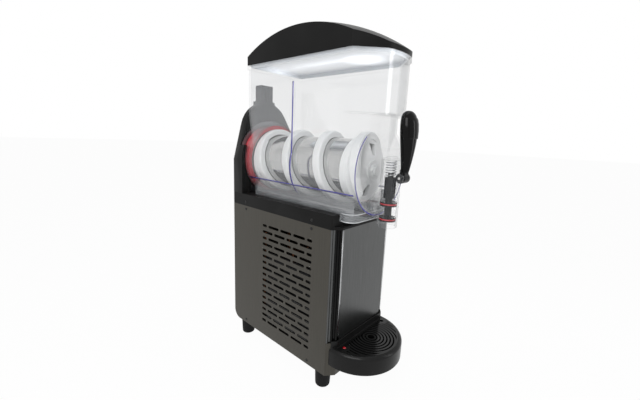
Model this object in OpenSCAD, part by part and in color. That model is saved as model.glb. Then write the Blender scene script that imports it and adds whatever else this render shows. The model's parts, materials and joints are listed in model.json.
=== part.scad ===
// Slush machine with one clear bowl, a chilled drum inside a turning spiral, and a lever tap.
// Millimetres, +Z up, the tap faces -Y. Modules are drawn with y = 0 at the front edge of the
// side panels; placed() moves them so that the origin lies on the floor under the middle.

/* [Cabinet] */
// Width across the side panels
cab_w = 224; // [216:1:250]
// Depth of the side panels
cab_d = 367; // [350:1:400]
// Height of the side panels
cab_h = 354; // [340:1:400]
// Height of the feet
foot_h = 46; // [30:1:60]
// Diameter of a foot where it meets the base
foot_d = 40; // [32:1:46]
// Diameter of a foot on the floor
foot_tip_d = 36; // [28:1:38]
// Distance from the cabinet's sides and front to a foot's axis
foot_inset = 24; // [23:1:40]
// Distance from the cabinet's rear to a rear foot's axis
foot_back = 36; // [34:1:50]
// Thickness of the sheet steel
sheet = 1.5; // [1:0.1:2]
// Radius of the lower rear corner of the cabinet
heel_r = 25; // [15:1:35]
// How far the front panel stands in front of the side panels
panel_step = 16; // [12:1:22]
// Width of a corner post, seen from the front
post_w = 20; // [15:1:27]
// Height of the apron under the front panel
apron_h = 84; // [78:1:96]
// Radius of a flute in a corner post
flute_r = 3.5; // [2:0.5:5]
// Distance of the front and rear screws from the panel's edges
screw_inset = 58; // [40:1:70]
// Diameter of a screw head
screw_d = 7; // [5:0.5:9]

/* [Vents] */
// Rows of slots in the left side panel
vent_rows = 17; // [9:1:17]
// Distance between rows
vent_pitch = 16.9; // [14:0.1:17.5]
// Length of a long slot
slot_l = 40; // [32:1:44]
// Height of a slot
slot_w = 7; // [4:0.5:9]
// Bridge between two slots of a row
slot_gap = 6.6; // [5:0.2:9]
// Distance from the panel's front edge to the slots
vent_front = 54; // [45:1:70]
// Height of the lowest row above the panel's lower edge
vent_low = 45; // [38:1:50]
// Length of a louvre in the rear panel
louvre_l = 140; // [100:1:160]
// Louvres in the rear panel
louvres = 10; // [4:1:12]

/* [Deck and cowl] */
// Height of the deck
deck_h = 32; // [28:1:40]
// Thickness of the deck's top
deck_top = 13; // [12:1:16]
// Wall of the deck and the cowl
skin = 3; // [2:0.5:4]
// How far the deck's front stands in front of the side panels
deck_front = 2; // [1:0.5:6]
// Radius of the deck's front corners
deck_r = 4; // [3:0.5:12]
// How far the trough sinks into the deck
trough_sink = 7; // [4:1:8]
// Distance from the cabinet's rear to the bulkhead's front face
bulkhead_back = 22; // [18:1:28]
// Thickness of the bulkhead
bulkhead_t = 3; // [2:0.5:4]
// Height of the middle of the cowl's arch above the deck
arch_z = 172; // [165:1:178]
// Radius of the cowl's arch
arch_r = 82; // [76:1:88]
// Distance from the bulkhead's front face to the arch
arch_back = 17; // [14:1:20]
// Length of the arch along the machine
arch_l = 16; // [12:1:18]
// How far the cowl bulges behind the cabinet
cowl_bulge = 38; // [30:1:50]
// How much the bulge draws in
cowl_taper = 26; // [18:1:32]
// How far the cheeks reach in front of the bulkhead
cheek_l = 18; // [10:1:24]
// Width of the lamp column
column_w = 40; // [34:1:52]
// Depth of the lamp column
column_d = 30; // [24:1:34]
// Height of the lamp column above the arch
column_h = 48; // [40:1:56]
// Distance from the bulkhead's front face to the column
column_back = 16; // [8:1:22]
// Width of the column's foot
plinth_w = 56; // [50:1:64]
// Height of the column's foot above the arch
plinth_h = 3; // [2:0.5:6]

/* [Drum and auger] */
// Radius of the drum
drum_r = 69; // [62:0.5:72]
// Distance from the cabinet's front edge back to the drum's front
drum_y = 12; // [4:1:34]
// Wall of the drum
drum_wall = 2; // [1.5:0.1:3]
// Running gap between the drum and the spiral
drum_gap = 1.5; // [1:0.1:2.5]
// Height of the spiral's flight
flight_h = 15.5; // [12:0.5:18]
// Thickness of the flight along the drum
flight_t = 22; // [12:1:26]
// Lead of the spiral
flight_lead = 106; // [90:1:120]
// Distance from the drum's front to the middle of the spiral's last crest
crest_l = 14; // [8:1:18]
// Length of the ring at the spiral's rear end
ring_l = 16; // [10:1:20]
// Reach of the nose in front of the drum
nose_l = 36; // [30:1:40]
// Radius of the nose's boss
boss_r = 24; // [18:1:28]
// Length of the nose nut
nut_l = 10; // [7:1:12]
// Diameter of the drive shaft
shaft_d = 18; // [14:0.5:20]
// Radial running clearance of shafts and pins
run_gap = 0.05; // [0.02:0.01:0.1]

/* [Bowl] */
// Wall of the bowl
bowl_wall = 3.5; // [3:0.1:4.5]
// Gap between the spiral and the trough
trough_gap = 10.5; // [7:0.5:12]
// Gap between the nose nut and the bowl's front
nose_gap = 6.5; // [4:0.5:10]
// How far the trough bulges past the flat side walls
bulge = 4.5; // [2:0.5:6]
// Height of the rim above the drum's axis
rim_h = 243; // [220:1:270]
// Height of the front ledge above the drum's axis
ledge_h = 119; // [112:1:130]
// How far the prow stands in front of the trough
prow = 30; // [24:1:36]
// Corner cut of the trough's front
low_cut = 42; // [30:1:46]
// Corner cut of the prow
prow_cut = 57; // [48:1:62]
// Radius of the prow's front
prow_r = 136; // [120:1:160]
// How far the rim stands past the walls
rim_lip = 3; // [1.5:0.5:4]
// Distance from the bulkhead to the bowl's upper rear wall
bowl_back = 27; // [24:1:40]
// How far the rear wall leans forward above the trough
bowl_lean = 20; // [10:1:24]
// Distance from the bulkhead to the trough's mouth
mouth_back = 11; // [9:1:14]
// Width of the bowl's base plate
base_w = 176; // [160:1:186]
// How far the base plate's tongue stays behind the bowl's front
tongue_back = 6; // [4:0.5:8]
// Radius of the tongue's front corners
tongue_r = 24; // [16:1:28]
// Width of the gasket between the drum's flange and the mouth
gasket_w = 6; // [4:0.5:8]
// Length of the gasket
gasket_l = 23; // [18:1:28]

/* [Lid] */
// Height of the lid
lid_h = 79; // [70:1:86]
// Radius of the lid's arch
lid_r = 385; // [370:1:420]
// Distance of the arch's top behind the cabinet's front edge
lid_top_y = 143; // [125:1:160]
// How far the lid stands past the bowl's walls
lid_over = 2.5; // [1.5:0.5:4]
// Wall of the lid
lid_wall = 3; // [2:0.5:4]

/* [Tap] */
// Diameter of the spout
spout_d = 44; // [40:1:48]
// Wall of the spout
spout_wall = 3; // [2.5:0.1:4]
// Depth of the spout's lower end below the drum's axis
spout_low = 121; // [115:1:130]
// Height of the spout's upper end above the drum's axis
spout_top = 27; // [24:1:34]
// Gap between the spout and the bowl's front
spout_gap = 2; // [1.5:0.5:4]
// Diameter of the port from the trough into the spout
port_d = 18; // [14:1:20]
// Distance from the piston's axis to the handle's pivot
lever = 29; // [27:0.5:32]
// Depth of the pivot below the drum's axis
pivot_drop = 9; // [6:0.5:12]
// Pull of the handle in degrees
pull = 45; // [35:1:46]
// Diameter of the pivot pin
pin_d = 6; // [5:0.5:8]
// Thickness of an ear that holds the pin
ear_t = 4; // [3:0.5:5]
// Half the width of the handle's boss
hub_hw = 12; // [10:0.5:13]
// Height of the handle above its pivot
handle_h = 139; // [120:1:150]
// Half the width of the grip
grip_hw = 24; // [18:0.5:26]
// Half the thickness of the grip
grip_ht = 18.5; // [14:0.5:19]
// Diameter of the spring's wire
wire_d = 1.8; // [1.4:0.1:2]
// Outer diameter of the spring
spring_d = 24; // [22:0.5:28]
// Curls of the spring
curls = 6; // [4:1:7]

/* [Drip tray] */
// Radius of the tray
tray_r = 106; // [96:1:112]
// Height of the tray's underside above the floor
tray_z = 76; // [66:1:84]
// Height of the tray
tray_h = 44; // [38:1:50]
// Wall of the tray
tray_wall = 3; // [2.5:0.1:4]
// Height of the upstand along the tray's back above its rim
tray_ledge = 16; // [10:1:20]
// Radius of the tray's upper edge
tray_edge = 9; // [6:0.5:11]
// Width of the flat rim round the grille
tray_rim = 8; // [7:0.5:12]
// Thickness of the grille
grille_t = 7; // [5:0.5:9]
// Distance of the grille's middle hole from the front panel
grille_mid = 34; // [28:1:42]
// Radius of the grille's middle hole
grille_hole = 8; // [5:0.5:10]
// Distance between the grille's ribs
rib_pitch = 8; // [6:0.5:10]
// Width of a rib
rib_w = 4.4; // [3:0.2:5]
// Diameter of the float
float_d = 9; // [7:0.5:11]
// Distance of the float from the tray's side
float_in = 26; // [24:1:32]

/* [Inside] */
// Radius of the compressor
comp_r = 70; // [60:1:74]
// Height of the compressor's shell
comp_h = 150; // [120:1:170]
// Height of the compressor's grommets
grommet_h = 12; // [8:1:16]
// Thickness of the condenser
cond_t = 40; // [30:1:44]
// Height of the condenser
cond_h = 240; // [220:1:270]
// Radius of the fan
fan_r = 68; // [56:1:72]
// Diameter of the refrigerant pipes
pipe_d = 8; // [6:0.5:10]
// Height of the filter drier's shell above the floor pan
drier_rise = 60; // [40:1:70]
// Length of the filter drier's shell
drier_h = 90; // [70:1:110]
// Width of the electrical box
box_w = 76; // [60:1:80]
// Depth of the electrical box
box_d = 96; // [80:1:110]
// Height of the electrical box
box_h = 130; // [100:1:150]
// Distance from the cabinet's front edge to the electrical box
box_y = 14; // [8:1:20]
// Distance from the cabinet's left side to the middle of the power inlet
inlet_in = 52; // [44:1:58]

/* [Controls] */
// Length of the control recess
ctrl_l = 120; // [110:1:130]
// Height of the control recess
ctrl_h = 52; // [46:1:56]
// Depth of the control recess
ctrl_d = 12; // [10:1:16]
// Radius of a rocker's barrel
rocker_r = 10; // [8:0.5:11]
// Tip of a rocker in degrees
rocker_tip = 20; // [12:1:24]
// Diameter of the hardness knob
knob_d = 28; // [22:1:32]

/* [Hidden] */

$fn = 48;
hull_fn = 32;
// Cut past a face, so that no skin is left
over = 1;
// Gap between pieces that are lifted or slid apart
seat = 0.3;
// Gap round a piece that is fitted into an opening
fit = 0.3;

cab_hw = cab_w / 2;
pan_z = foot_h + sheet;
cab_top = foot_h + cab_h;
apron_top = foot_h + apron_h;
panel_hw = cab_hw - post_w;
deck_z = cab_top + deck_h;

auger_in = drum_r + drum_gap;
auger_r = auger_in + flight_h;
trough_ri = auger_r + trough_gap;
trough_ro = trough_ri + bowl_wall;
axis_z = deck_z + trough_ro - trough_sink;
bulk_y = cab_d - bulkhead_back;
drum_l = bulk_y - drum_y;
flange_r = trough_ri - gasket_w - 2 * fit;
flange_y = bulk_y - gasket_l;
ring_y = flange_y - ring_l - trough_gap;
nose_y = drum_y - nose_l;
nut_y = nose_y - nut_l;
shaft_r = shaft_d / 2;

// The bowl's walls
bowl_hw = trough_ro - bulge;
front_y = nut_y - nose_gap;
bowl_y = front_y - bowl_wall;
rear_y = bulk_y - bowl_back;
mouth_y = bulk_y - mouth_back;
ledge_z = axis_z + ledge_h;
rim_z = axis_z + rim_h;
prow_y = bowl_y - prow;

// The tap's axis, its pivot and the tip that lifts the piston
tap_y = bowl_y - spout_gap - spout_d / 2;
bore_r = spout_d / 2 - spout_wall;
pivot_y = tap_y - lever;
pivot_z = axis_z - pivot_drop;
tip_arm = lever / cos(pull / 2);
tip_z = pivot_z - lever * tan(pull / 2);
port_z = axis_z - trough_ri + port_d / 2;
hub_r = 11;
tip_r = 4;
head_z = tip_z + hub_r;
cap_z = axis_z + spout_top;

// The tray's round front, drawn about a point just behind the front panel
tray_y = 2 - panel_step;
tray_back = -panel_step - 2 * fit;
tray_top = tray_z + tray_h;

// The origin lies midway between the tray's front and the cowl's rear
front_reach = tray_r - tray_y;
rear_reach = cab_d + cowl_bulge;
origin_y = (rear_reach - front_reach) / 2;

module placed() {
    translate([0, -origin_y, 0]) children();
}

// Turns local +Z to +Y, with the local origin on the drum's axis at y
module along_y(y) {
    translate([0, y, axis_z]) rotate([-90, 0, 0]) children();
}

// Extrudes a drawing of x and z from y over a length
module upright(y, length) {
    translate([0, y + length, 0]) rotate([90, 0, 0]) linear_extrude(length) children();
}

// Extrudes a drawing of y and z from x over a length
module sideways(x, length) {
    translate([x, 0, 0]) rotate([90, 0, 90]) linear_extrude(length) children();
}

// A bar of half-width hw along X at a place in y and z
module cross_rod(y, z, r, hw) {
    translate([-hw, y, z]) rotate([0, 90, 0]) cylinder(r = r, h = 2 * hw);
}

module block(low, high) {
    translate(low) cube(high - low);
}

module both_sides() {
    children();
    mirror([1, 0, 0]) children();
}

// A round-ended slot that starts at the origin and runs along +X
module obround(length, width) {
    translate([width / 2, -width / 2]) square([length - width, width]);
    for (x = [width / 2, length - width / 2]) translate([x, 0]) circle(d = width);
}

// Cabinet

module feet() {
    color("#1b1b1c") placed()
        for (x = [foot_inset - cab_hw, cab_hw - foot_inset], y = [foot_inset, cab_d - foot_back])
            translate([x, y, 0]) cylinder(d1 = foot_tip_d, d2 = foot_d, h = foot_h);
}

// The cabinet's floor in plan, drawn in at the sides and at the front
module floor_plan(side, front, depth) {
    corner = panel_hw - front / 2;
    polygon([[side - cab_hw, depth], [side - cab_hw, 0], [-corner, front - panel_step],
        [corner, front - panel_step], [cab_hw - side, 0], [cab_hw - side, depth]]);
}

// The part of the cabinet in plan that stands in front of the side panels
module apron_plan() {
    polygon([[-cab_hw, 0], [-panel_hw, -panel_step], [panel_hw, -panel_step], [cab_hw, 0]]);
}

tray_slot_w = 22;
tray_slot_h = 8;
tray_slot_x = 50;
tray_slot_z = tray_z + 14;

module base_pan() {
    inner = sheet + fit;
    color("#55534d") placed() difference() {
        union() {
            translate([0, 0, foot_h]) linear_extrude(sheet) floor_plan(inner, sheet / 2, cab_d - heel_r);
            translate([0, 0, foot_h]) linear_extrude(apron_h) difference() {
                apron_plan();
                floor_plan(sheet, sheet, over);
            }
            translate([0, cab_d - heel_r, foot_h + heel_r]) heel(inner);
        }
        for (x = [-tray_slot_x, tray_slot_x])
            block([x - tray_slot_w / 2, -panel_step - over, tray_slot_z],
                [x + tray_slot_w / 2, -panel_step + sheet + over, tray_slot_z + tray_slot_h]);
    }
}

// The pan's rounded lower rear edge, about its own axis
module heel(inner) {
    rotate([0, 90, 0]) translate([0, 0, inner - cab_hw]) linear_extrude(cab_w - 2 * inner) intersection() {
        difference() {
            circle(heel_r);
            circle(heel_r - sheet);
        }
        square(heel_r);
    }
}

// A side panel's outline in y and z
module side_outline() {
    difference() {
        translate([0, foot_h]) square([cab_d, cab_h]);
        translate([cab_d - heel_r, foot_h]) difference() {
            translate([0, -over]) square([heel_r + over, heel_r + over]);
            translate([0, heel_r]) circle(heel_r);
        }
    }
}

// Rows of slots, whole ones and ones that start and end short
module vent_slots(rows) {
    short_l = (slot_l - slot_gap) / 2;
    step = slot_l + slot_gap;
    for (row = [0:rows - 1]) translate([vent_front, foot_h + vent_low + row * vent_pitch]) {
        if (row % 2 == 1) for (i = [0:3]) translate([i * step, 0]) obround(slot_l, slot_w);
        else {
            obround(short_l, slot_w);
            for (i = [0:2]) translate([short_l + slot_gap + i * step, 0]) obround(slot_l, slot_w);
            translate([short_l + slot_gap + 3 * step, 0]) obround(short_l, slot_w);
        }
    }
}

panel_screw_z = [foot_h + 10, cab_top - 9];
deck_screw_z = cab_top + 11;
screw_y = [screw_inset, cab_d - screw_inset];
shank_d = screw_d / 2;

module screw_holes(heights) {
    for (y = screw_y, z = heights) translate([y, z]) circle(d = shank_d + 2 * fit);
}

module left_side_panel() {
    color("#5a564f") placed() sideways(-cab_hw, sheet) difference() {
        side_outline();
        vent_slots(vent_rows);
        screw_holes(panel_screw_z);
    }
}

ctrl_y = 30;
ctrl_z = cab_top - 26 - ctrl_h;
right_rows = floor((ctrl_z - foot_h - vent_low - vent_pitch) / vent_pitch) + 1;

module right_side_panel() {
    color("#5a564f") placed() sideways(cab_hw - sheet, sheet) difference() {
        side_outline();
        vent_slots(min(vent_rows, right_rows));
        screw_holes(panel_screw_z);
        translate([ctrl_y, ctrl_z]) square([ctrl_l, ctrl_h]);
    }
}

inlet_w = 30;
inlet_h = 24;
inlet_x = inlet_in - cab_hw;
inlet_z = foot_h + 50;

module rear_panel() {
    hw = cab_hw - sheet - fit;
    low = foot_h + heel_r;
    louvre_low = cab_top - 40;
    color("#5a564f") placed() upright(cab_d - sheet, sheet) difference() {
        translate([-hw, low]) square([2 * hw, cab_top - low]);
        for (i = [0:louvres - 1]) translate([-louvre_l / 2, louvre_low - i * 2 * slot_w])
            obround(louvre_l, slot_w);
        translate([inlet_x - inlet_w / 2, inlet_z]) square([inlet_w, inlet_h]);
    }
}

module front_panel() {
    hw = panel_hw - fit;
    low = apron_top + fit;
    notch = [7, 14];
    color("#6d6e70") placed() {
        upright(-panel_step, sheet) difference() {
            translate([-hw, low]) square([2 * hw, cab_top - low]);
            for (x = [-hw - over, hw - notch[0]]) translate([x, low - over]) square(notch + [over, over]);
        }
        both_sides() block([hw - sheet, sheet - panel_step, low + notch[1]], [hw, 0, cab_top]);
    }
}

module corner_posts() {
    low = apron_top + fit;
    color("#2e2d2b") placed() both_sides() translate([panel_hw, 0, low])
        linear_extrude(cab_top - low) difference() {
            polygon([[post_w, 0], [0, -panel_step], [0, 0]]);
            for (part = [0.3, 0.7]) translate([part * post_w, (part - 1) * panel_step]) circle(flute_r);
        }
}

module panel_screws() {
    head_t = 1.2;
    shank_l = 8;
    color("#141414") placed() both_sides() for (y = screw_y, z = concat(panel_screw_z, [deck_screw_z]))
        translate([cab_hw, y, z]) rotate([0, 90, 0]) {
            cylinder(d = screw_d, h = head_t);
            translate([0, 0, -shank_l]) cylinder(d = shank_d, h = shank_l);
        }
}

// Deck, cowl and column

module deck_plan(inset) {
    r = deck_r;
    front = inset - deck_front;
    hw = cab_hw - inset;
    translate([-hw, front + r]) square([2 * hw, cab_d - inset - front - r]);
    translate([r - hw, front]) square([2 * hw - 2 * r, 2 * r]);
    for (x = [r - hw, hw - r]) translate([x, front + r]) circle(r);
}

pipe_way = 40;

module deck() {
    groove_r = trough_ro + 5 * fit;
    color("#242425") placed() difference() {
        translate([0, 0, cab_top]) linear_extrude(deck_h) deck_plan(0);
        translate([0, 0, cab_top - over]) linear_extrude(deck_h - deck_top + over) deck_plan(skin);
        along_y(-deck_front - over) cylinder(r = groove_r, h = bulk_y + deck_front + over);
        block([-pipe_way, bulk_y + bulkhead_t + fit, cab_top], [pipe_way, cab_d - skin, deck_z + over]);
        both_sides() sideways(cab_hw - skin - over, skin + 2 * over) screw_holes([deck_screw_z]);
    }
}

// The cowl's lower sides in x and z
module cowl_sides(inset) {
    hw = cab_hw - inset;
    translate([-hw, deck_z]) square([2 * hw, axis_z - deck_z]);
}

// The cowl's outline round the trough's mouth
module cowl_front(inset) {
    r = cab_hw - inset;
    cowl_sides(inset);
    intersection() {
        translate([0, axis_z]) circle(r);
        translate([-r, deck_z]) square([2 * r, axis_z]);
    }
}

// The arch that stands behind the mouth
module cowl_arch(inset) {
    translate([0, deck_z + arch_z]) circle(arch_r - inset);
}

module cowl_form(inset) {
    thin = 0.5;
    rear_hw = cab_hw - cowl_taper - inset;
    rear_low = deck_z + cowl_taper + inset;
    past = inset > 0 ? over : 0;
    $fn = hull_fn;
    hull() {
        upright(bulk_y - past, bulkhead_back + past) cowl_sides(inset);
        upright(bulk_y - past, thin + inset + past) cowl_front(inset);
        upright(bulk_y + arch_back + inset, arch_l - 2 * inset) cowl_arch(inset);
        upright(cab_d + cowl_bulge - inset - thin, thin) {
            translate([-rear_hw, rear_low]) square([2 * rear_hw, axis_z - rear_low]);
            cowl_arch(inset + cowl_taper);
        }
    }
}

// The side of the cowl that reaches past the trough's mouth
module cheek_outline() {
    inner = bowl_hw - 2 * bulge - skin;
    difference() {
        intersection() {
            cowl_front(0);
            translate([inner, deck_z]) square([cab_w, (axis_z - deck_z + arch_z) / 2]);
        }
        translate([0, axis_z]) circle(trough_ro + skin);
    }
}

module motor_cowl() {
    color("#242425") placed() {
        difference() {
            cowl_form(0);
            cowl_form(skin);
        }
        both_sides() upright(bulk_y - cheek_l, cheek_l) cheek_outline();
    }
}

module lamp_column() {
    groove_r = 5;
    y = bulk_y + column_back;
    crown = deck_z + arch_z + arch_r;
    root = crown - 2 * cowl_taper;
    color("#3a3a3c") placed() difference() {
        union() {
            block([-column_w / 2, y, root], [column_w / 2, y + column_d, crown + column_h]);
            block([-plinth_w / 2, y, root], [plinth_w / 2, y + column_d, crown + plinth_h]);
        }
        for (x = [-column_w / 4, 0, column_w / 4]) translate([x, y - groove_r / 2, crown + plinth_h])
            cylinder(r = groove_r, h = column_h);
        cowl_form(0);
    }
}

// Drum, drive and gasket

module bulkhead() {
    inset = skin + 3 * fit;
    color("#2b2b2d") placed() difference() {
        upright(bulk_y, bulkhead_t) cowl_front(inset);
        along_y(bulk_y - over) cylinder(r = 1.5 * shaft_r, h = bulkhead_t + 2 * over);
    }
}

tube_ri = 14;
tube_ro = tube_ri + drum_wall;
end_t = 3;

module evaporator_drum() {
    color("#c9cbcd") placed() along_y(drum_y) rotate_extrude() difference() {
        union() {
            translate([tube_ri, 0]) square([drum_r - tube_ri, drum_l]);
            translate([tube_ri, drum_l - gasket_l]) square([flange_r - tube_ri, gasket_l]);
        }
        translate([tube_ro, end_t]) square([drum_r - drum_wall - tube_ro, drum_l]);
    }
}

module evaporator_coil() {
    coil_t = 7;
    r = drum_r - drum_wall - fit / 2;
    color("#b87333") placed() along_y(drum_y + 6 * end_t) difference() {
        cylinder(r = r, h = drum_l - gasket_l - 6 * end_t);
        translate([0, 0, -over]) cylinder(r = r - coil_t, h = drum_l);
    }
}

module shaft_bush() {
    color("#d8d4c6") placed() along_y(drum_y) difference() {
        cylinder(r = tube_ri - run_gap, h = 6 * end_t);
        translate([0, 0, -over]) cylinder(r = shaft_r + run_gap, h = 6 * end_t + 2 * over);
    }
}

module drum_gasket() {
    lip = 2;
    color("#b3202c") placed() along_y(flange_y) rotate_extrude() {
        translate([flange_r + run_gap, 0]) square([gasket_w - run_gap, gasket_l]);
        translate([flange_r - 3 * lip, -lip]) square([gasket_w + 3 * lip, lip]);
    }
}

gear_hw = 38;
gear_d = 42;
gear_y = bulk_y + bulkhead_t;
shaft_end = gear_y + 30;

module gear_box() {
    color("#77797b") placed() difference() {
        upright(gear_y, gear_d) translate([0, axis_z]) {
            circle(gear_hw);
            translate([-gear_hw, 0]) square([2 * gear_hw, gear_hw]);
        }
        along_y(gear_y - over) cylinder(r = shaft_r + run_gap, h = shaft_end + fit + over - gear_y);
    }
}

module gear_motor() {
    motor_h = 60;
    motor_r = gear_d / 2 - 1;
    color("#3f4144") placed() translate([0, gear_y + gear_d / 2, axis_z + gear_hw]) {
        cylinder(r = motor_r, h = motor_h - 8);
        cylinder(r = motor_r - 4, h = motor_h);
        for (turn = [0:30:150]) rotate(turn) translate([-motor_r - 0.5, -1, 6])
            cube([2 * motor_r + 1, 2, motor_h - 20]);
    }
}

// Cooling unit inside the cabinet

comp_x = cab_hw - sheet - comp_r - 10;
comp_z = pan_z + grommet_h;
comp_foot = comp_r * 0.82;
grommet_d = 20;
comp_y = cab_d - heel_r - comp_foot - grommet_d / 2;

module compressor() {
    round_r = comp_r / 3;
    plate_t = 3;
    color("#1d1d1f") placed() translate([comp_x, comp_y, comp_z]) {
        difference() {
            translate([-comp_r, -comp_r, 0]) cube([2 * comp_r, 2 * comp_r, plate_t]);
            for (x = [-comp_foot, comp_foot], y = [-comp_foot, comp_foot]) translate([x, y, -over])
                cylinder(d = 9, h = plate_t + 2 * over);
        }
        rotate_extrude() {
            square([comp_r - round_r, comp_h]);
            square([comp_r - 3, comp_h - round_r]);
            translate([comp_r - 3 - round_r, comp_h - round_r]) circle(round_r);
            translate([0, comp_h / 2]) square([comp_r, 6]);
        }
    }
}

module compressor_grommets() {
    color("#151515") placed() for (x = [-comp_foot, comp_foot], y = [-comp_foot, comp_foot])
        translate([comp_x + x, comp_y + y, pan_z]) cylinder(d = grommet_d, h = grommet_h);
}

cond_x = 6 * sheet - cab_hw;
cond_y = [vent_front + 4, vent_front + 4 * slot_l + 3 * slot_gap - 4];
cond_mid = (cond_y[0] + cond_y[1]) / 2;
fan_z = pan_z + cond_h / 2;

module condenser() {
    fin_pitch = 12;
    fin_gap = 7;
    fin_in = 8;
    count = floor((cond_h - 2 * fin_in) / fin_pitch);
    color("#8c8f92") placed() difference() {
        block([cond_x, cond_y[0], pan_z], [cond_x + cond_t, cond_y[1], pan_z + cond_h]);
        for (i = [0:count - 1], x = [cond_x - over, cond_x + cond_t - fin_in])
            translate([x, cond_y[0] + fin_in, pan_z + fin_in + i * fin_pitch])
                cube([fin_in + over, cond_y[1] - cond_y[0] - 2 * fin_in, fin_gap]);
    }
}

shroud_x = cond_x + cond_t;
ring_r = fan_r + 4;
shroud_l = 22;

module fan_shroud() {
    color("#6b6d6f") placed() difference() {
        union() {
            sideways(shroud_x, sheet) translate([cond_y[0], pan_z]) square([cond_y[1] - cond_y[0], cond_h]);
            sideways(shroud_x, shroud_l) translate([cond_mid, fan_z]) circle(ring_r + sheet);
        }
        sideways(shroud_x - over, shroud_l + 2 * over) translate([cond_mid, fan_z]) circle(ring_r);
    }
}

hub_x = shroud_x + 4;
hub_l = 18;
motor_x = hub_x + hub_l + 6;
fan_shaft_r = 4;
fan_shaft_in = 14;

module fan_blade() {
    fan_hub_r = 18;
    blade_t = 1.5;
    color("#202123") placed() translate([hub_x, cond_mid, fan_z]) rotate([0, 90, 0]) {
        cylinder(r = fan_hub_r, h = hub_l);
        cylinder(r = fan_shaft_r, h = hub_l + 6 + fan_shaft_in);
        for (turn = [0:72:288]) rotate(turn) translate([0, 0, hub_l / 2]) rotate([28, 0, 0])
            translate([fan_hub_r - 4, -14, -blade_t / 2]) cube([fan_r - fan_hub_r, 28, blade_t]);
    }
}

module fan_motor() {
    motor_r = 30;
    motor_l = 44;
    color("#35373a") placed() difference() {
        union() {
            translate([motor_x, cond_mid, fan_z]) rotate([0, 90, 0]) cylinder(r = motor_r, h = motor_l);
            block([motor_x + 8, cond_mid - 14, pan_z], [motor_x + 12, cond_mid + 14, fan_z]);
            block([motor_x - 4, cond_mid - 14, pan_z], [motor_x + 32, cond_mid + 14, pan_z + 3]);
        }
        translate([motor_x - over, cond_mid, fan_z]) rotate([0, 90, 0])
            cylinder(r = fan_shaft_r + run_gap, h = fan_shaft_in + over + fit);
    }
}

pipe_r = pipe_d / 2;
drier_x = cond_x + cond_t / 2;
drier_y = cond_y[1] + 30;
drier_z = pan_z + drier_rise;
drier_tip = 8;

module filter_drier() {
    r = 11;
    color("#b87333") placed() translate([drier_x, drier_y, drier_z]) {
        cylinder(r = r, h = drier_h);
        translate([0, 0, -drier_tip]) cylinder(r1 = pipe_r, r2 = r, h = drier_tip);
        translate([0, 0, drier_h]) cylinder(r1 = r, r2 = pipe_r, h = drier_tip);
    }
}

// A pipe of straight runs between points, with a brazed elbow at each bend
module pipe(points) {
    elbow_r = pipe_r + 1;
    for (i = [0:len(points) - 2]) {
        run = points[i + 1] - points[i];
        translate(points[i]) rotate([0, acos(run[2] / norm(run)), atan2(run[1], run[0])])
            cylinder(r = pipe_r, h = norm(run));
        if (i > 0) translate(points[i]) sphere(elbow_r);
    }
}

module refrigerant_pipes() {
    comp_top = comp_z + comp_h;
    out_x = comp_x + 12;
    out_z = comp_top + 24;
    back_x = comp_x - 12;
    back_z = cab_top - 40;
    feed_z = cab_top - 70;
    riser_x = pipe_way - 12;
    riser_y = gear_y + 8;
    drum_z = axis_z - gear_hw - 8;
    cond_top = pan_z + cond_h;
    cond_z = cond_top + 20;
    low_z = drier_z - 20;
    color("#b87333") placed() {
        // Suction line from the drum back to the compressor
        pipe([[back_x, comp_y, comp_top + fit], [back_x, comp_y, back_z], [back_x, riser_y, back_z],
            [riser_x, riser_y, back_z], [riser_x, riser_y, drum_z], [riser_x, gear_y + fit, drum_z]]);
        // Discharge line from the compressor to the condenser
        pipe([[out_x, comp_y, comp_top + fit], [out_x, comp_y, out_z], [out_x, cond_mid, out_z],
            [out_x, cond_mid, cond_z], [drier_x, cond_mid, cond_z], [drier_x, cond_mid, cond_top + fit]]);
        // Liquid line from the condenser to the drier
        pipe([[drier_x, cond_y[1] + fit, low_z], [drier_x, drier_y, low_z],
            [drier_x, drier_y, drier_z - drier_tip - fit]]);
        // Feed line from the drier up to the drum
        pipe([[drier_x, drier_y, drier_z + drier_h + drier_tip + fit], [drier_x, drier_y, feed_z],
            [-riser_x, riser_y, feed_z], [-riser_x, riser_y, drum_z], [-riser_x, gear_y + fit, drum_z]]);
    }
}

module electrical_box() {
    size = [box_w, box_d, box_h];
    low = [cab_hw - sheet - box_w - 8, box_y, pan_z];
    color("#8a8c8e") placed() {
        block(low, low + size);
        block(low + [4, 4, box_h], low + size + [-4, -4, 6]);
    }
}

module power_inlet() {
    rim = 6;
    flange_t = 3;
    deep = 22;
    pin = [2, 5];
    color("#121213") placed() {
        upright(cab_d, flange_t) translate([inlet_x - inlet_w / 2 - rim, inlet_z - rim]) difference() {
            square([inlet_w + 2 * rim, inlet_h + 2 * rim]);
            translate([rim + 2, rim + 2]) square([inlet_w - 4, inlet_h - 4]);
        }
        upright(cab_d - deep, deep) translate([inlet_x - inlet_w / 2 + fit, inlet_z + fit]) difference() {
            square([inlet_w - 2 * fit, inlet_h - 2 * fit]);
            translate([2 - fit, 2 - fit]) square([inlet_w - 4, inlet_h - 4]);
        }
        upright(cab_d - deep - 2, 2) translate([inlet_x - inlet_w / 2 + fit, inlet_z + fit])
            square([inlet_w - 2 * fit, inlet_h - 2 * fit]);
        for (x = [-7, 0, 7])
            translate([inlet_x + x - pin[0] / 2, cab_d - deep, inlet_z + inlet_h / 2 - pin[1] / 2])
                cube([pin[0], deep - 6, pin[1]]);
    }
}

// Controls in a recess of the right side panel

ctrl_x = cab_hw - sheet - ctrl_d;
ctrl_mid = ctrl_z + ctrl_h / 2;
rocker_w = 14;
rocker_y = [ctrl_y + 24, ctrl_y + 52];
knob_y = ctrl_y + ctrl_l - 30;

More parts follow.
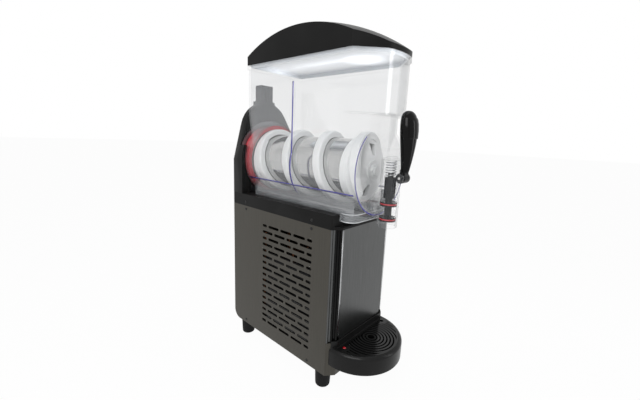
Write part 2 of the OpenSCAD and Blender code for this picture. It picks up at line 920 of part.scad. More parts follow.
module control_plate() {
    wall = 2;
    color("#1f1f20") placed() difference() {
        sideways(ctrl_x - wall, ctrl_d + wall) translate([ctrl_y - wall, ctrl_z - wall])
            square([ctrl_l + 2 * wall, ctrl_h + 2 * wall]);
        sideways(ctrl_x, ctrl_d + over) translate([ctrl_y, ctrl_z]) square([ctrl_l, ctrl_h]);
        for (y = rocker_y) block([ctrl_x - wall - over, y - rocker_w / 2 - fit, ctrl_mid - rocker_r - fit],
            [ctrl_x + over, y + rocker_w / 2 + fit, ctrl_mid + rocker_r + fit]);
        translate([ctrl_x - wall - over, knob_y, ctrl_mid]) rotate([0, 90, 0])
            cylinder(r = fan_shaft_r + run_gap, h = wall + 2 * over);
    }
}

// A barrel with two flats that meet at a low ridge, tipped to its off position
module rocker(y, tone) {
    flat_x = rocker_r * 0.72;
    color(tone) placed() translate([ctrl_x, y, ctrl_mid]) rotate([0, rocker_tip / 2, 0]) difference() {
        cross_barrel(rocker_w / 2, rocker_r);
        for (way = [-1, 1]) rotate([0, way * rocker_tip / 2, 0])
            translate([flat_x, -rocker_w, way > 0 ? -2 * rocker_r : 0])
                cube([rocker_r, 2 * rocker_w, 2 * rocker_r]);
    }
}

module cross_barrel(hw, r) {
    translate([0, hw, 0]) rotate([90, 0, 0]) cylinder(r = r, h = 2 * hw);
}

module power_rocker() {
    rocker(rocker_y[0], "#b3202c");
}

module cooling_rocker() {
    rocker(rocker_y[1], "#2c2d30");
}

module hardness_knob() {
    knob_h = ctrl_d - 2;
    pointer = 2;
    color("#2c2d30") placed() translate([ctrl_x + seat, knob_y, ctrl_mid]) rotate([0, 90, 0]) {
        difference() {
            cylinder(d = knob_d, h = knob_h);
            translate([-pointer / 2, 0, knob_h - pointer / 2]) cube([pointer, knob_d, pointer]);
        }
        translate([0, 0, -2 - 4 * seat]) cylinder(r = fan_shaft_r, h = 2 + 5 * seat);
    }
}

// Bowl

// Front corners cut at 45 degrees, grown by an offset
module corner_diamond(hw, reach, cut, grow) {
    half = hw + reach - cut + grow * sqrt(2);
    rotate(45) square(half * sqrt(2), center = true);
}

// The bowl's upper part in plan, grown or drawn in by an offset
module prow_plan(grow) {
    hw = bowl_hw + grow;
    translate([-hw, 0]) square([2 * hw, rear_y + grow]);
    intersection() {
        translate([-hw, prow_y - grow]) square([2 * hw, over - prow_y + grow]);
        corner_diamond(bowl_hw, -prow_y, prow_cut, grow);
        translate([0, prow_y + prow_r]) circle(prow_r + grow);
    }
}

module low_plan(grow) {
    hw = bowl_hw + grow;
    translate([-hw, 0]) square([2 * hw, rear_y + grow]);
    intersection() {
        translate([-hw, bowl_y - grow]) square([2 * hw, over - bowl_y + grow]);
        corner_diamond(bowl_hw, -bowl_y, low_cut, grow);
    }
}

// The side of the lower walls in y and z, with the rear wall leaning over the trough
module low_side(grow, top) {
    bend_z = axis_z + trough_ro / 3;
    polygon([[bowl_y - grow, axis_z], [bowl_y - grow, top], [rear_y + grow, top], [rear_y + grow, ledge_z],
        [rear_y - bowl_lean + grow, bend_z], [rear_y - bowl_lean + grow, axis_z]]);
}

module low_walls(grow, top) {
    intersection() {
        sideways(-cab_hw, cab_w) low_side(grow, top);
        translate([0, 0, axis_z]) linear_extrude(top - axis_z) low_plan(grow);
    }
}

module bowl_outside() {
    along_y(bowl_y) cylinder(r = trough_ro, h = mouth_y - bowl_y);
    low_walls(0, ledge_z);
    translate([0, 0, ledge_z]) linear_extrude(rim_z - ledge_z) prow_plan(0);
    translate([0, 0, rim_z - 3 * bowl_wall]) linear_extrude(3 * bowl_wall) prow_plan(rim_lip);
}

module bowl_inside() {
    inner_ledge = ledge_z + bowl_wall;
    along_y(front_y) cylinder(r = trough_ri, h = mouth_y - front_y + over);
    low_walls(-bowl_wall, inner_ledge + over);
    translate([0, 0, inner_ledge]) linear_extrude(rim_z - inner_ledge + over) prow_plan(-bowl_wall);
}

// The plate that slides on the deck, its side skirts and the tongue in front of the deck
module bowl_base() {
    plate_z = deck_z + seat;
    hw = base_w / 2;
    rear = rear_y - bowl_lean;
    front = bowl_y + tongue_back;
    drop = deck_h / 2;
    translate([0, 0, plate_z]) linear_extrude(bowl_wall) tongue_plan(0, hw, front, rear);
    translate([0, 0, plate_z - drop]) linear_extrude(drop + bowl_wall) intersection() {
        difference() {
            tongue_plan(0, hw, front, rear);
            tongue_plan(bowl_wall, hw, front, rear);
        }
        translate([-hw, front]) square([2 * hw, -front - deck_front - 2 * seat]);
    }
    skirt_z = axis_z - sqrt(trough_ri * trough_ri - (hw - bowl_wall) * (hw - bowl_wall));
    both_sides() block([hw - bowl_wall, bowl_y + 2 * bowl_wall, plate_z], [hw, rear, skirt_z]);
}

module tongue_plan(inset, hw, front, rear) {
    r = tongue_r;
    half = hw - inset;
    near = front + inset;
    translate([-half, near + r]) square([2 * half, rear - near - r]);
    translate([r - half, near]) square([2 * half - 2 * r, 2 * r]);
    for (x = [r - half, half - r]) translate([x, near + r]) circle(r);
}

module bowl() {
    color("#dfe6ea", 0.35) placed() difference() {
        union() {
            bowl_outside();
            bowl_base();
        }
        bowl_inside();
        along_port(bowl_y - over) cylinder(d = port_d, h = bowl_wall + 2 * over);
    }
}

// Tap

// Turns local +Z to +Y, with the local origin on the port's axis at y
module along_port(y) {
    translate([0, y, port_z]) rotate([-90, 0, 0]) children();
}

window_z = tip_z - 20;
window_hw = hub_hw + 2 * fit;
ear_x = hub_hw + fit;

module tap_spout() {
    low = axis_z - spout_low;
    ear_h = hub_r - 1;
    color("#dfe6ea", 0.35) placed() difference() {
        union() {
            translate([0, tap_y, low]) cylinder(d = spout_d, h = cap_z - low);
            along_port(tap_y) cylinder(d = port_d + 2 * spout_wall, h = bowl_y - tap_y);
            block([-spout_wall, tap_y + bore_r, axis_z], [spout_wall, bowl_y, axis_z + 20]);
            both_sides() {
                translate([ear_x, pivot_y, pivot_z]) rotate([0, 90, 0]) cylinder(r = ear_h, h = ear_t);
                block([ear_x, pivot_y, pivot_z - ear_h], [ear_x + ear_t, tap_y, pivot_z + ear_h]);
            }
        }
        translate([0, tap_y, low - over]) cylinder(r = bore_r, h = cap_z - low + 2 * over);
        along_port(tap_y) cylinder(d = port_d, h = bowl_y - tap_y + over);
        block([-window_hw, tap_y - spout_d, window_z], [window_hw, tap_y, cap_z + over]);
        cross_rod(pivot_y, pivot_z, pin_d / 2 + run_gap, cab_hw);
    }
}

module tap_cap() {
    cap_t = 4;
    color("#e9edf0", 0.7) placed() translate([0, tap_y, cap_z]) {
        cylinder(d = spout_d - 4, h = cap_t);
        cylinder(d = spring_d, h = cap_t + 4);
    }
}

module tap_pivot_pin() {
    color("#c9cbcd") placed() cross_rod(pivot_y, pivot_z, pin_d / 2, ear_x + ear_t + 1);
}

// The spring is one tube along a helix whose ends stand straight on what they meet
spring_low = head_z + fit;
spring_r = (spring_d - wire_d) / 2;
curl_rings = 8;
wire_sides = 6;
coil_z = spring_low + wire_d;
coil_h = cap_z - fit - wire_d - coil_z;
function curl_point(i) = [spring_r * cos(360 * i / curl_rings), spring_r * sin(360 * i / curl_rings),
    coil_z + coil_h * i / (curls * curl_rings)];
spring_path = concat([[spring_r, 0, spring_low]], [for (i = [0:curls * curl_rings]) curl_point(i)],
    [[spring_r, 0, coil_z + coil_h + wire_d]]);

// Least gap between stretches of the wire that lie more than half a curl apart
spring_gap = min([for (i = [0:len(spring_path) - 1], j = [i + curl_rings / 2:1:len(spring_path) - 1])
    norm(spring_path[i] - spring_path[j])]) - wire_d;
echo(spring_gap = spring_gap);

function unit(v) = v / norm(v);
function path_way(path, i) = unit(path[min(i + 1, len(path) - 1)] - path[max(i - 1, 0)]);
function ring_points(path, i, r, sides) =
    let (way = path_way(path, i), out = unit([path[i][0], path[i][1], 0]), side = unit(cross(way, out)),
        up = cross(side, way))
    [for (k = [0:sides - 1]) path[i] + r * (cos(360 * k / sides) * up + sin(360 * k / sides) * side)];

module swept_tube(path, r, sides) {
    last = len(path) - 1;
    points = [for (i = [0:last], p = ring_points(path, i, r, sides)) p];
    walls = [for (i = [0:last - 1], k = [0:sides - 1])
        let (a = i * sides + k, b = i * sides + (k + 1) % sides)
            each [[a, a + sides, b], [b, a + sides, b + sides]]];
    far = last * sides;
    caps = [for (k = [1:sides - 2]) each [[0, k, k + 1], [far, far + k + 1, far + k]]];
    polyhedron(points, concat(walls, caps));
}

module tap_spring() {
    color("#b9bcc0") placed() translate([0, tap_y, 0]) swept_tube(spring_path, wire_d / 2, wire_sides);
}

seal_r = 1.75;
seal_mid = bore_r - run_gap - seal_r;
seal_z = [axis_z - spout_low + 18, axis_z - spout_low + 52];
head_gap = 0.6;

module tap_piston() {
    head_r = bore_r - head_gap;
    stem_r = 8;
    body_r = 12.5;
    groove = 2 * seal_r + fit / 2;
    flare = hub_r - 0.8;
    low = seal_z[0] - 5;
    color("#151516") placed() translate([0, tap_y, 0]) difference() {
        union() {
            translate([0, 0, low]) cylinder(r = stem_r, h = head_z - low);
            for (z = seal_z) translate([0, 0, z - 4.5]) cylinder(r = head_r, h = 9);
            translate([0, 0, tip_z - 35]) cylinder(r = body_r, h = head_z - tip_z + 35);
            translate([0, 0, head_z]) cylinder(r = stem_r - 2, h = 10);
        }
        for (z = seal_z) translate([0, 0, z - groove / 2]) difference() {
            cylinder(r = bore_r, h = groove);
            translate([0, 0, -over]) cylinder(r = seal_mid - seal_r - run_gap, h = groove + 2 * over);
        }
        // A wedge that opens forward, for the handle's tip and its arm
        sideways(-tip_r - 2, 2 * tip_r + 4) translate([0, tip_z])
            polygon([[tip_r + 3, -tip_r - 0.5], [tip_r + 3, tip_r + 0.5], [0, tip_r + 0.5],
                [-body_r - 4, flare], [-body_r - 4, -flare], [0, -tip_r - 0.5]]);
    }
}

module piston_seals() {
    color("#b3202c") placed() for (z = seal_z) translate([0, tap_y, z])
        rotate_extrude() translate([seal_mid, 0]) circle(seal_r);
}

module tap_handle() {
    arm_t = 6;
    grip_mid = 0.72 * handle_h;
    neck_z = 16;
    color("#121213") placed() difference() {
        union() {
            cross_rod(pivot_y, pivot_z, hub_r, hub_hw);
            // Arm from the boss to the tip
            translate([0, pivot_y, pivot_z]) rotate([-pull / 2, 0, 0])
                block([-tip_r, 0, -arm_t / 2], [tip_r, tip_arm, arm_t / 2]);
            cross_rod(tap_y, tip_z, tip_r, tip_r + 1);
            translate([0, pivot_y, pivot_z]) hull() {
                $fn = hull_fn;
                translate([0, -3, neck_z]) sphere(hub_r - 2);
                translate([0, -5, grip_mid - 36]) scale([0.85, 0.85, 1]) sphere(grip_ht);
                translate([0, -4.5, grip_mid]) scale([grip_hw, grip_ht, 20]) sphere(1);
                translate([0, -1, handle_h - grip_ht]) scale([grip_hw - 2, grip_ht - 2, grip_ht]) sphere(1);
            }
            block([-hub_r + 3, pivot_y - 8, pivot_z], [hub_r - 3, pivot_y + 4, pivot_z + neck_z]);
        }
        cross_rod(pivot_y, pivot_z, pin_d / 2 + run_gap, cab_hw);
    }
}

// Lid

// The lid's outline in plan under an arch that falls away all round
module lid_form(grow, low) {
    intersection() {
        translate([0, 0, low]) linear_extrude(lid_h + rim_h) prow_plan(lid_over + grow);
        translate([0, lid_top_y, rim_z + lid_h - lid_r]) rotate([0, 90, 0]) sphere(lid_r + grow, $fn = 180);
    }
}

module lid_cover() {
    color("#232324") placed() difference() {
        lid_form(0, rim_z + seat);
        lid_form(-lid_wall, rim_z - over);
    }
}

liner_t = 2.5;
liner_z = rim_z + 2;

module lid_liner() {
    skirt = -bowl_wall - 2 * fit;
    color("#eef2f4", 0.6) placed() {
        translate([0, 0, liner_z]) linear_extrude(liner_t) prow_plan(lid_over - lid_wall - fit);
        translate([0, 0, liner_z - 3 * liner_t]) linear_extrude(3 * liner_t) difference() {
            prow_plan(skirt);
            prow_plan(skirt - liner_t);
        }
    }
}

module lid_lamp() {
    strip_hw = 12;
    board = 2;
    lamp_l = 200;
    start = lid_top_y - lamp_l / 2;
    low = liner_z + liner_t;
    color("#f4f6f2") placed() {
        block([-strip_hw, start, low], [strip_hw, start + lamp_l, low + board]);
        for (i = [0:9]) translate([0, start + (i + 0.5) * lamp_l / 10, low + board])
            translate([-4, -4, 0]) cube([8, 8, 2]);
    }
}

// Auger

// One ribbon wound towards the front as it goes down the left side. Its last turn sweeps the bowl's
// front wall, so it keeps a gap to the wall and narrows to a tip.
module auger_spiral() {
    tip_w = 8;
    least_y = front_y + nose_gap / 2;
    rear = ring_y + ring_l / 2;
    front = least_y + tip_w - flight_t / 2;
    top_y = drum_y - crest_l;
    steps = 36;
    count = floor((rear - front) / flight_lead * steps);
    function corner(y, turn, r, side) =
        [-r * sin(turn), max(y + side * flight_t / 2, least_y), r * cos(turn)];
    function section(i) =
        let (y = rear - (rear - front) * i / count, turn = 360 * (top_y - y) / flight_lead)
        [corner(y, turn, auger_in, -1), corner(y, turn, auger_r, -1),
            corner(y, turn, auger_r, 1), corner(y, turn, auger_in, 1)];
    points = [for (i = [0:count], p = section(i)) p];
    walls = [for (i = [0:count - 1], k = [0:3])
        let (a = 4 * i + k, b = 4 * i + (k + 1) % 4) each [[a, b, a + 4], [b, b + 4, a + 4]]];
    last = 4 * count;
    caps = [[0, 2, 1], [0, 3, 2], [last, last + 1, last + 2], [last, last + 2, last + 3]];
    color("#f4f6f6") placed() translate([0, 0, axis_z]) polyhedron(points, concat(walls, caps));
}

module auger_nose() {
    dish_t = 8;
    rim_y = nose_l - 14;
    rim_l = 18;
    rim_r = auger_in + flight_h / 3;
    window_in = boss_r + 10;
    window_out = auger_in - 10;
    color("#eef1f1") placed() along_y(nose_y) difference() {
        rotate_extrude() {
            translate([shaft_r + run_gap, 0]) square([boss_r - shaft_r - run_gap, nose_l - 4]);
            polygon([[boss_r - 2, 2], [rim_r, rim_y], [rim_r, rim_y + rim_l],
                [auger_in, rim_y + rim_l], [auger_in, rim_y + dish_t - 2], [boss_r - 2, 2 + dish_t]]);
        }
        for (turn = [100, 280]) rotate(turn) translate([0, 0, -over]) linear_extrude(nose_l)
            polygon([[window_in, -5], [window_out, -12], [window_out, 12], [window_in, 5]]);
    }
}

module auger_ring() {
    color("#eef1f1") placed() along_y(ring_y) difference() {
        cylinder(r = auger_r, h = ring_l);
        translate([0, 0, -over]) cylinder(r = auger_in, h = ring_l + 2 * over);
    }
}

module auger_nut() {
    color("#dfe3e4") placed() along_y(nut_y) {
        translate([0, 0, nut_l / 2]) cylinder(r = shaft_r + 7, h = nut_l / 2, $fn = 6);
        cylinder(r = shaft_r + 2, h = nut_l / 2);
    }
}

module drive_shaft() {
    color("#b9bcc0") placed() along_y(nose_y) cylinder(r = shaft_r, h = shaft_end - nose_y);
}

// Drip tray

// The float stands in the tray's left corner
back_rim = 6;
float_x = float_in - tray_r;
float_y = tray_back - back_rim - tray_wall - float_d / 2 - 2 * fit;
grille_z = tray_top - grille_t;

// The cabinet in plan, moved forward by a gap
module cabinet_plan(gap) {
    translate([0, -gap]) {
        translate([-cab_hw, 0]) square([cab_w, cab_d]);
        apron_plan();
    }
}

// The tray's round front, cut straight along the front panel
module tray_half(back) {
    translate([-tray_r, tray_y - tray_r]) square([2 * tray_r, tray_r - tray_y + back]);
}

module tray_body() {
    flat_r = tray_r - tray_edge;
    difference() {
        translate([0, tray_y, tray_z]) rotate_extrude() {
            square([flat_r, tray_h]);
            square([tray_r, tray_h - tray_edge]);
            translate([flat_r, tray_h - tray_edge]) circle(tray_edge);
        }
        translate([0, 0, tray_z - over]) linear_extrude(tray_h + 2 * over) cabinet_plan(2 * fit);
    }
}

// The thin wall that stands along the tray's back and follows the cabinet's front
module tray_upstand() {
    translate([0, 0, grille_z]) linear_extrude(tray_top + tray_ledge - grille_z) difference() {
        intersection() {
            translate([0, tray_y]) circle(tray_r - tray_wall);
            cabinet_plan(2 * fit + tray_wall);
        }
        cabinet_plan(2 * fit);
    }
}

// The basin in plan, drawn in from the tray's edge
module basin_plan(inset) {
    intersection() {
        translate([0, tray_y]) circle(tray_r - inset);
        tray_half(tray_back - back_rim - inset + tray_rim);
    }
}

module drip_tray() {
    tab_l = 20;
    tab_z = tray_slot_z + fit;
    roof_z = grille_z - seat - tray_wall / 2;
    color("#1a1a1b") placed() {
        difference() {
            tray_body();
            translate([0, 0, tray_z + tray_wall]) linear_extrude(tray_h) basin_plan(tray_rim + tray_wall);
            translate([0, 0, grille_z - seat]) linear_extrude(tray_h) basin_plan(tray_rim);
            // The rim is hollow from below
            translate([0, 0, tray_z - over]) linear_extrude(roof_z - tray_z + over) difference() {
                intersection() {
                    translate([0, tray_y]) circle(tray_r - tray_wall);
                    tray_half(tray_back - tray_wall);
                }
                basin_plan(tray_rim);
            }
        }
        tray_upstand();
        for (x = [-tray_slot_x, tray_slot_x])
            block([x - tray_slot_w / 2 + 2 * fit, tray_back - over, tab_z],
                [x + tray_slot_w / 2 - 2 * fit, tray_back + tab_l, tray_slot_z + tray_slot_h - fit]);
        translate([float_x, float_y, tray_z]) float_guide();
    }
}

// A pocket on the tray's floor in which the float stands
module float_guide() {
    guide_h = 10;
    difference() {
        cylinder(d = float_d + 2 * tray_wall, h = guide_h);
        translate([0, 0, tray_wall]) cylinder(d = float_d + 2 * fit, h = guide_h);
    }
}

module drip_grille() {
    margin = tray_rim + fit;
    mid_y = tray_back - grille_mid;
    ribs = floor(tray_r * 1.4 / rib_pitch);
    spoke_w = 4;
    bar_t = 3;
    color("#161617") placed() difference() {
        union() {
            translate([0, 0, grille_z]) intersection() {
                translate([0, 0, -over]) linear_extrude(grille_t + 2 * over) basin_plan(margin);
                union() {
                    for (i = [0:ribs]) translate([0, mid_y, 0]) linear_extrude(grille_t) difference() {
                        circle(grille_hole + i * rib_pitch + rib_w);
                        circle(grille_hole + i * rib_pitch);
                    }
                    for (turn = [0:45:315]) translate([0, mid_y, 0]) rotate(turn)
                        translate([grille_hole + rib_w / 2, -spoke_w / 2, 0])
                            cube([2 * tray_r, spoke_w, bar_t]);
                }
            }
            translate([0, 0, grille_z]) linear_extrude(grille_t) difference() {
                basin_plan(margin);
                basin_plan(margin + rib_w);
            }
            translate([0, 0, grille_z]) linear_extrude(grille_t) intersection() {
                basin_plan(margin);
                both_sides() translate([float_x, float_y]) circle(d = float_d + 6 * tray_wall);
            }
        }
        both_sides() translate([float_x, float_y, grille_z - over])
            cylinder(d = float_d + 2 * fit, h = grille_t + 2 * over);
    }
}

module tray_float() {
    low = tray_z + tray_wall + seat;
    color("#c8202e") placed() translate([float_x, float_y, low])
        cylinder(d = float_d, h = tray_top + 1 - low);
}

feet();
base_pan();
left_side_panel();
right_side_panel();
rear_panel();
front_panel();
corner_posts();
panel_screws();
deck();
motor_cowl();
lamp_column();
bulkhead();
evaporator_drum();
evaporator_coil();
shaft_bush();
drum_gasket();
gear_box();
gear_motor();
compressor();
compressor_grommets();
condenser();
fan_shroud();
fan_motor();
fan_blade();
filter_drier();
refrigerant_pipes();
electrical_box();
power_inlet();
control_plate();
power_rocker();
cooling_rocker();
hardness_knob();
bowl();
tap_spout();
tap_cap();
tap_spring();
tap_pivot_pin();
tap_handle();
tap_piston();
piston_seals();
lid_cover();
lid_liner();
lid_lamp();
auger_spiral();
auger_nose();
auger_ring();
auger_nut();
drive_shaft();
drip_tray();
drip_grille();
tray_float();
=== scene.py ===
# %% [markdown]
# # A slush machine, dressed over its CAD model
# The CAD model gives every sub-part its real size, place and joint. This lesson adds what the eye expects
# on top of that: moulded and brushed finishes, rounded edges, smooth windings, and the camera of a
# product picture. We could remodel the machine from nothing, but pieces that keep the CAD's places still
# fit when the joints move.

# %% Load the frame
import json
import math

import bmesh
import bpy
from mathutils import Matrix, Vector

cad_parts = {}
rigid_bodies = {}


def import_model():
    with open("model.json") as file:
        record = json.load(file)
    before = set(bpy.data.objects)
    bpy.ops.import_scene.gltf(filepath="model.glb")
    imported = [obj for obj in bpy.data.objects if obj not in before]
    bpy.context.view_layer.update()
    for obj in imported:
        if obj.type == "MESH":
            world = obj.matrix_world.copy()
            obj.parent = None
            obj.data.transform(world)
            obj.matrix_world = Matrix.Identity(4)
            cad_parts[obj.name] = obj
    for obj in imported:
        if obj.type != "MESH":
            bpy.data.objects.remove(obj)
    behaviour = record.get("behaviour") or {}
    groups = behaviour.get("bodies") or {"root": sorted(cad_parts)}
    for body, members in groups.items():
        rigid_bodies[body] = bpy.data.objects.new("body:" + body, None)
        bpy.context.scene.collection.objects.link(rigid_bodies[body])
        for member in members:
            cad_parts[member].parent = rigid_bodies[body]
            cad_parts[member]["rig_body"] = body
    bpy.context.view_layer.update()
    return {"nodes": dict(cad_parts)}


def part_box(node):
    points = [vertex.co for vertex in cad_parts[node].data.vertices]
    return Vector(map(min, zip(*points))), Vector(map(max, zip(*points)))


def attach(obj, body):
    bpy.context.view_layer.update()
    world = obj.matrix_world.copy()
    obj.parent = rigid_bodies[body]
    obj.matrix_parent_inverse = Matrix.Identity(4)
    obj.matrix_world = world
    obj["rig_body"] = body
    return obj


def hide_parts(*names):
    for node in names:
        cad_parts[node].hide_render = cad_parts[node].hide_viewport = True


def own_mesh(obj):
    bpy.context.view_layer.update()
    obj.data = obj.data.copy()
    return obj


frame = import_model()

# %% [markdown]
# ## Millimetres and colours
# The machine was measured in millimetres, and Blender works in metres, so one helper turns a point in
# millimetres into a vector. Colours are written as the hex values a colour picker shows, which are sRGB,
# while shaders add light in linear values. One function does that change for every material below.

# %% Helpers for points and colours
def mm(*values):
    return Vector(value / 1000 for value in values)


def linear(hex_colour):
    channels = [int(hex_colour[i:i + 2], 16) / 255 for i in (1, 3, 5)]
    return [c / 12.92 if c <= 0.04045 else ((c + 0.055) / 1.055) ** 2.4 for c in channels] + [1.0]


print("mid grey in linear values:", linear("#808080"))

# %% [markdown]
# ## The camera
# The picture was taken from the front left, slightly above the drum, with a wide lens. The camera could be
# placed by eye, but its place, turn and focal length were worked out from straight edges of the cabinet
# and from the drum's rings, so the numbers are used as they are.

# %% Camera
YAW, PITCH, ROLL = math.radians(48.01), math.radians(11.06), -0.0418
SENSOR_W, PICTURE_W, FOCAL_PX = 36, 640, 323.03

forward = Vector((math.sin(YAW) * math.cos(PITCH), math.cos(YAW) * math.cos(PITCH), -math.sin(PITCH)))
horizon = Vector((math.cos(YAW), -math.sin(YAW), 0))
downward = forward.cross(horizon)
right = math.cos(ROLL) * horizon + math.sin(ROLL) * downward
upward = math.sin(ROLL) * horizon - math.cos(ROLL) * downward

camera = bpy.data.objects.new("camera", bpy.data.cameras.new("camera"))
camera.data.sensor_width = SENSOR_W
camera.data.lens = SENSOR_W * FOCAL_PX / PICTURE_W
camera.matrix_world = Matrix((right, upward, -forward)).transposed().to_4x4()
camera.location = mm(-622.94, -566.95, 594.85)
bpy.context.collection.objects.link(camera)
bpy.context.scene.camera = camera
print("lens:", round(camera.data.lens, 2), "mm")

# %% [markdown]
# ## One function for shader nodes
# A material is a small tree of nodes. Each kind of node could get its own helper, but they all need the
# same three things: a type, settings, and values or links for their sockets. So one function adds any of
# them. A node given as a value is linked from its first output, and a node given instead of a type only
# gets new values and links.

# %% Node helper and material starter
def put(tree, kind, sockets=None, stops=(), **settings):
    node = tree.nodes.new(kind) if isinstance(kind, str) else kind
    for name, value in settings.items():
        setattr(node, name, value)
    for index, (place, colour) in enumerate(stops):
        node.color_ramp.elements[index].position = place
        node.color_ramp.elements[index].color = linear(colour)
    for name, value in (sockets or {}).items():
        source = value.outputs[0] if isinstance(value, bpy.types.Node) else value
        if isinstance(source, bpy.types.NodeSocket):
            tree.links.new(source, node.inputs[name])
        else:
            node.inputs[name].default_value = source
    return node


def adjust(finish, sockets):
    return put(finish.node_tree, finish.node_tree.nodes["Principled BSDF"], sockets)


def new_finish(name, sockets):
    finish = bpy.data.materials.new(name)
    finish.use_nodes = True
    return finish, finish.node_tree, adjust(finish, sockets)


def object_place(tree):
    return put(tree, "ShaderNodeTexCoord").outputs["Object"]


def two_tone(tree, value, dark, light):
    return put(tree, "ShaderNodeValToRGB", {"Fac": value}, stops=[(0.3, dark), (0.7, light)])


print("node helpers ready")

# %% [markdown]
# ## Lacquered steel of the side panels
# The sides are brushed stainless sheet under a tinted lacquer, a warm brown grey. Paint would look flat;
# what shows here is a soft sheen with very fine brushing along the height. The brushing lines are about
# 0.2 mm apart on the real sheet. They are drawn 0.8 mm apart, because finer ones would not show in the
# picture.

# %% Lacquered side panel steel
MILLIMETRE = 1000.0
LINE_STRETCH = 0.01


def brushed(tree, spacing_mm):
    scale = MILLIMETRE / spacing_mm
    lines = put(tree, "ShaderNodeMapping", {"Vector": object_place(tree),
        "Scale": (scale, scale, scale * LINE_STRETCH)})
    return put(tree, "ShaderNodeTexNoise", {"Vector": lines, "Scale": 1.0, "Detail": 3.0})


side_steel, tree, shader = new_finish("lacquered_brushed_steel", {"Metallic": 0.5, "Roughness": 0.45})
lines = brushed(tree, 0.8)
bump = put(tree, "ShaderNodeBump", {"Height": lines, "Strength": 0.06, "Distance": 0.0001})
put(tree, shader, {"Base Color": two_tone(tree, lines, "#3b3933", "#47443e"), "Normal": bump})
print("made", side_steel.name)

# %% [markdown]
# ## Brushed stainless of the front panel
# The front panel is bare stainless with an upright brush, so reflections smear along the height.
# Anisotropy on the shader gives the smear, and a stretched noise gives single lines that catch the light
# differently. They are drawn coarser than real too, 0.6 mm apart.

# %% Brushed front panel steel
front_steel, tree, shader = new_finish("brushed_stainless_steel", {"Metallic": 1.0, "Roughness": 0.34,
    "Anisotropic": 0.5})
lines = brushed(tree, 0.6)
bump = put(tree, "ShaderNodeBump", {"Height": lines, "Strength": 0.05, "Distance": 0.0001})
put(tree, shader, {"Base Color": two_tone(tree, lines, "#525353", "#626363"), "Normal": bump})
print("made", front_steel.name)

# %% [markdown]
# ## Polished stainless of the drum
# The evaporator drum is turned and polished stainless. The lathe leaves rings round the axis, so the noise
# is squeezed along Y and the rings run round the drum. It stays smooth enough to mirror the white spiral.

# %% Polished drum steel
RING_SCALE = (8.0, MILLIMETRE / 1.2, 8.0)

drum_steel, tree, shader = new_finish("polished_stainless_steel", {"Metallic": 1.0})
rings = put(tree, "ShaderNodeMapping", {"Vector": object_place(tree), "Scale": RING_SCALE})
turning = put(tree, "ShaderNodeTexNoise", {"Vector": rings, "Scale": 1.0, "Detail": 2.0})
rough = put(tree, "ShaderNodeMapRange", {"Value": turning, "To Min": 0.06, "To Max": 0.14})
put(tree, shader, {"Base Color": two_tone(tree, turning, "#b6b6b5", "#cacac9"), "Roughness": rough})
print("made", drum_steel.name)

# %% [markdown]
# ## Black plastics of the covers, the tray and the handle
# The covers are moulded in black ABS with a fine spark-eroded grain, which breaks up the highlights. The
# grain is about 0.3 mm; a noise of 0.9 mm is used so that it shows. A second, broad noise keeps large
# faces from looking like one flat colour. The grain also scatters the mirror part of the light, so the
# specular level is low. The lamp column is a greyer ABS. The tray and its grille are smoother, for wiping,
# and mirror more, and the handle is polished acetal.

# %% Moulded black plastics
BROAD_MM = 90


def noise(tree, size_mm, detail=2.0):
    return put(tree, "ShaderNodeTexNoise", {"Vector": object_place(tree), "Scale": MILLIMETRE / size_mm,
        "Detail": detail})


def moulded(name, dark, light, roughness, grain_mm, grain, sheen=0.5, coat=0.0):
    finish, tree, shader = new_finish(name, {"Roughness": roughness, "IOR": 1.52,
        "Specular IOR Level": sheen, "Coat Weight": coat, "Coat Roughness": 0.08})
    fine = noise(tree, grain_mm)
    bump = put(tree, "ShaderNodeBump", {"Height": fine, "Strength": grain, "Distance": 0.0002})
    tones = two_tone(tree, noise(tree, BROAD_MM), dark, light)
    put(tree, shader, {"Base Color": tones, "Normal": bump})
    return finish


black_abs = moulded("grained_black_abs", "#161616", "#1d1d1d", 0.42, 0.9, 0.25, sheen=0.08)
lid_abs = moulded("satin_black_abs", "#181818", "#1d1d1d", 0.34, 0.9, 0.12, sheen=0.06)
column_abs = moulded("grained_grey_abs", "#1b1c1e", "#242527", 0.45, 0.9, 0.2, sheen=0.15)
gloss_black = moulded("polished_black_acetal", "#070707", "#0c0c0c", 0.12, 1.5, 0.05, 0.1, coat=0.04)
tray_abs = moulded("satin_black_abs_tray", "#0f0f0f", "#151515", 0.28, 0.9, 0.12, sheen=0.16)
grille_abs = moulded("polished_black_abs", "#090909", "#0e0e0e", 0.16, 1.5, 0.05, sheen=0.28)
print("made", black_abs.name, lid_abs.name, column_abs.name, gloss_black.name)
print("made", tray_abs.name, grille_abs.name)

# %% [markdown]
# ## White acetal of the auger
# The spiral, its nose and its ring are moulded in white acetal, a waxy food-safe plastic. Light enters it
# a few millimetres and comes out again, so it has a little subsurface scattering and soft highlights. The
# red of the float and the power switch is plain moulded ABS.

# %% Moulded white and red plastics
white_acetal = moulded("moulded_white_acetal", "#eceeee", "#f7f8f8", 0.33, 1.2, 0.06)
adjust(white_acetal, {"Subsurface Weight": 0.25, "Subsurface Radius": (0.004, 0.004, 0.004),
    "Subsurface Scale": 1.0})
red_abs = moulded("moulded_red_abs", "#9c101b", "#b31725", 0.22, 1.0, 0.05)
print("made", white_acetal.name, red_abs.name)

# %% [markdown]
# ## Silicone and rubber
# The bowl gasket and the O-rings are red silicone, soft and slightly see-through at thin edges. The feet
# are black rubber with a dusty, matt skin.

